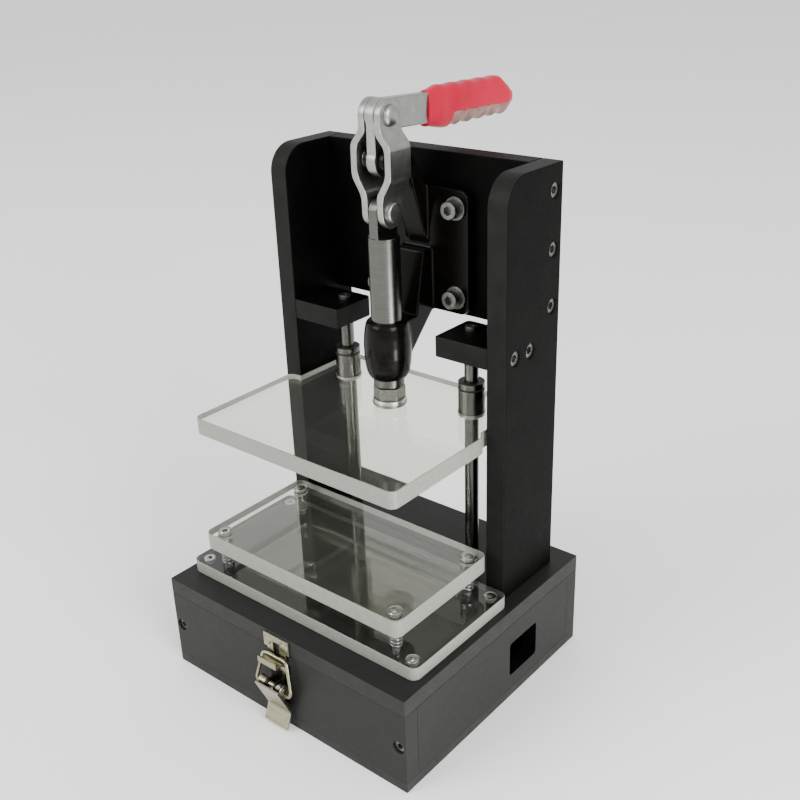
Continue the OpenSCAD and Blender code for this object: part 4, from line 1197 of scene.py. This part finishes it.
        # Place, section and share of its size: a rolled lip, the length of the grip and its rounded end
        stations = [(0.0, 0.0, 0.93), (0.25 * MM, 0.0, 0.985)]
        stations += [(y, y, 1.0) for y in along]
        stations += [(last - 0.2 * MM, last, 0.97), (last, last, 0.9), (last, last, 0.45)]
        tilt = Matrix.Rotation(-math.radians(self.droop), 4, "X")
        place = Matrix.Translation((0, self.clamp_y, self.pin_z)) @ tilt
        rings = [[bm.verts.new(place @ point) for point in self.grip_ring(*station)] for station in stations]
        for (y, _, _), one, two in zip(stations, rings, rings[1:]):
            for k in range(self.grip_around):
                n = (k + 1) % self.grip_around
                face = bm.faces.new((one[k], one[n], two[n], two[k]))
                # Faces low in the band take the greyish finish: wear with painted floor reflection
                low = -math.sin(2 * math.pi * (k + 0.5) / self.grip_around)
                wear_and_sheen_from = self.wear_and_sheen_from + self.wear_and_sheen_ridge * (1 - self.hollow(y, low))
                face.material_index = int(low > wear_and_sheen_from and self.hollow_from < y < last - MM)
        bm.faces.new(rings[0])
        bm.faces.new(list(reversed(rings[-1])))
        bmesh.ops.recalc_face_normals(bm, faces=bm.faces)
        return bm

    def grip_ring(self, y: float, of: float, share: float) -> List[Vector]:
        """Draws one ring of the grip.

        Args:
            y: Place of the ring along the grip.
            of: Distance along the grip whose section it takes.
            share: Share of that section's size.

        Returns:
            Points from the right side over the top and round below.
        """
        above, below, across = self.grip_section(of)
        points = []
        for k in range(self.grip_around):
            turn = 2 * math.pi * k / self.grip_around
            c, s = math.cos(turn), math.sin(turn)
            tall = above if s > 0 else below
            ledge = min(1.0, max(0.0, (-s - self.wear_and_sheen_from + self.ledge_over) / self.ledge_run))
            round_in = 1 - ledge * (self.band_sink * self.band(of) + self.hollow_depth * self.hollow(of, -s))
            x = across * round_in * math.copysign(abs(c) ** self.grip_power, c)
            z = tall * round_in * math.copysign(abs(s) ** self.grip_power, s)
            points.append(Vector((x * share, self.grip_from_pin + y, z * share)))
        return points


@dataclass
class Press(PlateStack):
    """What the clamp drives: plunger, foot, clear press plate and linear bearings."""

    steel_edge: float = 0.4 * MM
    foot_edge: float = 0.6 * MM
    nut_edge: float = 0.35 * MM
    ring_edge: float = 0.15 * MM
    bearing_edge: float = 0.2 * MM
    seal_rim: float = 0.35 * MM
    seal_sink: float = 0.05 * MM
    pocket_slack: float = 0.4 * MM
    pocket_cover: float = 0.2 * MM

    def build(self) -> None:
        """Makes the plunger, the foot, the press plate and the bearings."""
        self.metal("plunger", self.steel_edge, "ground_steel", GROUND)
        self.metal("plunger_foot", self.foot_edge, "ground_steel", FOOT)
        self.metal("foot_nut", self.nut_edge, "screw_steel", SCREW)
        self.screws("foot_screw", Head.SUNK, M5, Aim.DOWN)
        self.clear_plate("press_plate", self.edge, self.pocket())
        for node in ("left_bearing", "right_bearing"):
            self.bearing(node)
        self.metal("bearing_rings", self.ring_edge, "black_casting", SEAL)

    def pocket(self) -> Box:
        """Gives the box around the part of the foot that is sunk in the plate.

        Returns:
            Its corners, with some slack to the sides and below.
        """
        low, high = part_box("plunger_foot")
        slack = Vector((self.pocket_slack,) * 3)
        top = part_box("press_plate")[1].z - self.pocket_cover
        return low - slack, Vector((high.x + slack.x, high.y + slack.y, top))

    def bearing(self, node: str) -> None:
        """Finishes a linear bearing, with a dark seal sunk in each end.

        Args:
            node: Name of the node.
        """
        bm = self.frame.merged(node)
        low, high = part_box(node)
        flat = [f for f in bm.faces if abs(f.normal.z) > FACING]
        for level in (low.z, high.z):
            ends = [f for f in flat if abs(f.calc_center_median().z - level) < WELD]
            bmesh.ops.inset_region(bm, faces=ends, thickness=self.seal_rim, depth=-self.seal_sink,
                                   use_even_offset=True)
            for face in ends:
                face.material_index = 1
        round_edges(bm, self.bearing_edge, over=STEEL_EDGE)
        self.keep(node, bm, "ground_steel", GROUND, SEAL)

    def dress(self) -> None:
        """Dresses the pieces, none of which changes its shape."""
        SubAssembly.dress(self)


@dataclass
class Studio:
    """Pale floor, soft lights and the camera of the photograph."""

    eye: Tuple[float, float, float] = (0.35722, -0.39229, 0.41321)
    turn: Tuple[float, float, float] = (65.3013, 1.7904, 39.5154)
    lens: float = 47.12
    sensor: float = 36.0
    clip: Pair = (0.01, 60.0)
    floor_size: float = 24.0
    floor_drop: float = 0.2 * MM
    sky: Color = (1.0, 1.0, 1.0)
    sky_strength: float = 1.25

    def build(self) -> None:
        """Makes the floor, the sky, the lights and the camera."""
        bm = bmesh.new()
        bmesh.ops.create_grid(bm, x_segments=8, y_segments=8, size=self.floor_size / 2)
        bmesh.ops.translate(bm, verts=bm.verts, vec=(0, 0, -self.floor_drop))
        mesh = bpy.data.meshes.new("studio_floor")
        bm.to_mesh(mesh)
        bm.free()
        mesh.materials.append(PAPER.material())
        linked("studio_floor", mesh)
        world = bpy.data.worlds.new("studio_sky")
        world.use_nodes = True
        background = world.node_tree.nodes["Background"]
        background.inputs["Color"].default_value = (*self.sky, 1)
        background.inputs["Strength"].default_value = self.sky_strength
        bpy.context.scene.world = world
        self.lamp("front_box", at=(-1.1, -2.2, 1.5), toward=(0, -0.03, 0.12), size=1.5, power=68.0)
        self.lamp("right_box", at=(2.2, -0.6, 1.2), toward=(0, 0, 0.14), size=1.2, power=70.0)
        self.lamp("low_box", at=(0.40, -0.08, 0.03), toward=(0, 0.02, 0.23), size=0.09, power=1.0)
        self.camera()

    def lamp(self, name: str, at: Sequence[float], toward: Sequence[float], size: float,
             power: float) -> None:
        """Hangs a square soft box.

        Args:
            name: Name of the light.
            at: Its place.
            toward: Point that it faces.
            size: Length of a side.
            power: Power in watts.
        """
        light = bpy.data.lights.new(name, "AREA")
        light.size = size
        light.energy = power
        obj = bpy.data.objects.new(name, light)
        obj.location = at
        obj.rotation_euler = (Vector(toward) - Vector(at)).to_track_quat("-Z", "Y").to_euler()
        bpy.context.scene.collection.objects.link(obj)

    def camera(self) -> None:
        """Sets the camera where the photograph was taken from."""
        data = bpy.data.cameras.new("photo_camera")
        data.sensor_width = self.sensor
        data.lens = self.lens
        data.clip_start, data.clip_end = self.clip
        obj = bpy.data.objects.new("photo_camera", data)
        obj.location = self.eye
        obj.rotation_euler = Euler([math.radians(a) for a in self.turn], "XYZ")
        bpy.context.scene.collection.objects.link(obj)
        bpy.context.scene.camera = obj


def clear_scene() -> None:
    """Removes what a new scene starts with."""
    for obj in list(bpy.data.objects):
        bpy.data.objects.remove(obj)


def main() -> None:
    """Builds and dresses every sub-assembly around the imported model."""
    logging.basicConfig(level=logging.INFO, format="%(name)s: %(message)s")
    clear_scene()
    frame = Frame(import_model())
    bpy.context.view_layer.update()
    kit = Kit()
    for kind in (WiringBox, DrawLatch, Gantry, PlateStack, ToggleClamp, Press):
        assembly = kind(frame, kit)
        assembly.build()
        assembly.dress()
    Studio().build()


if __name__ == "__main__":
    main()
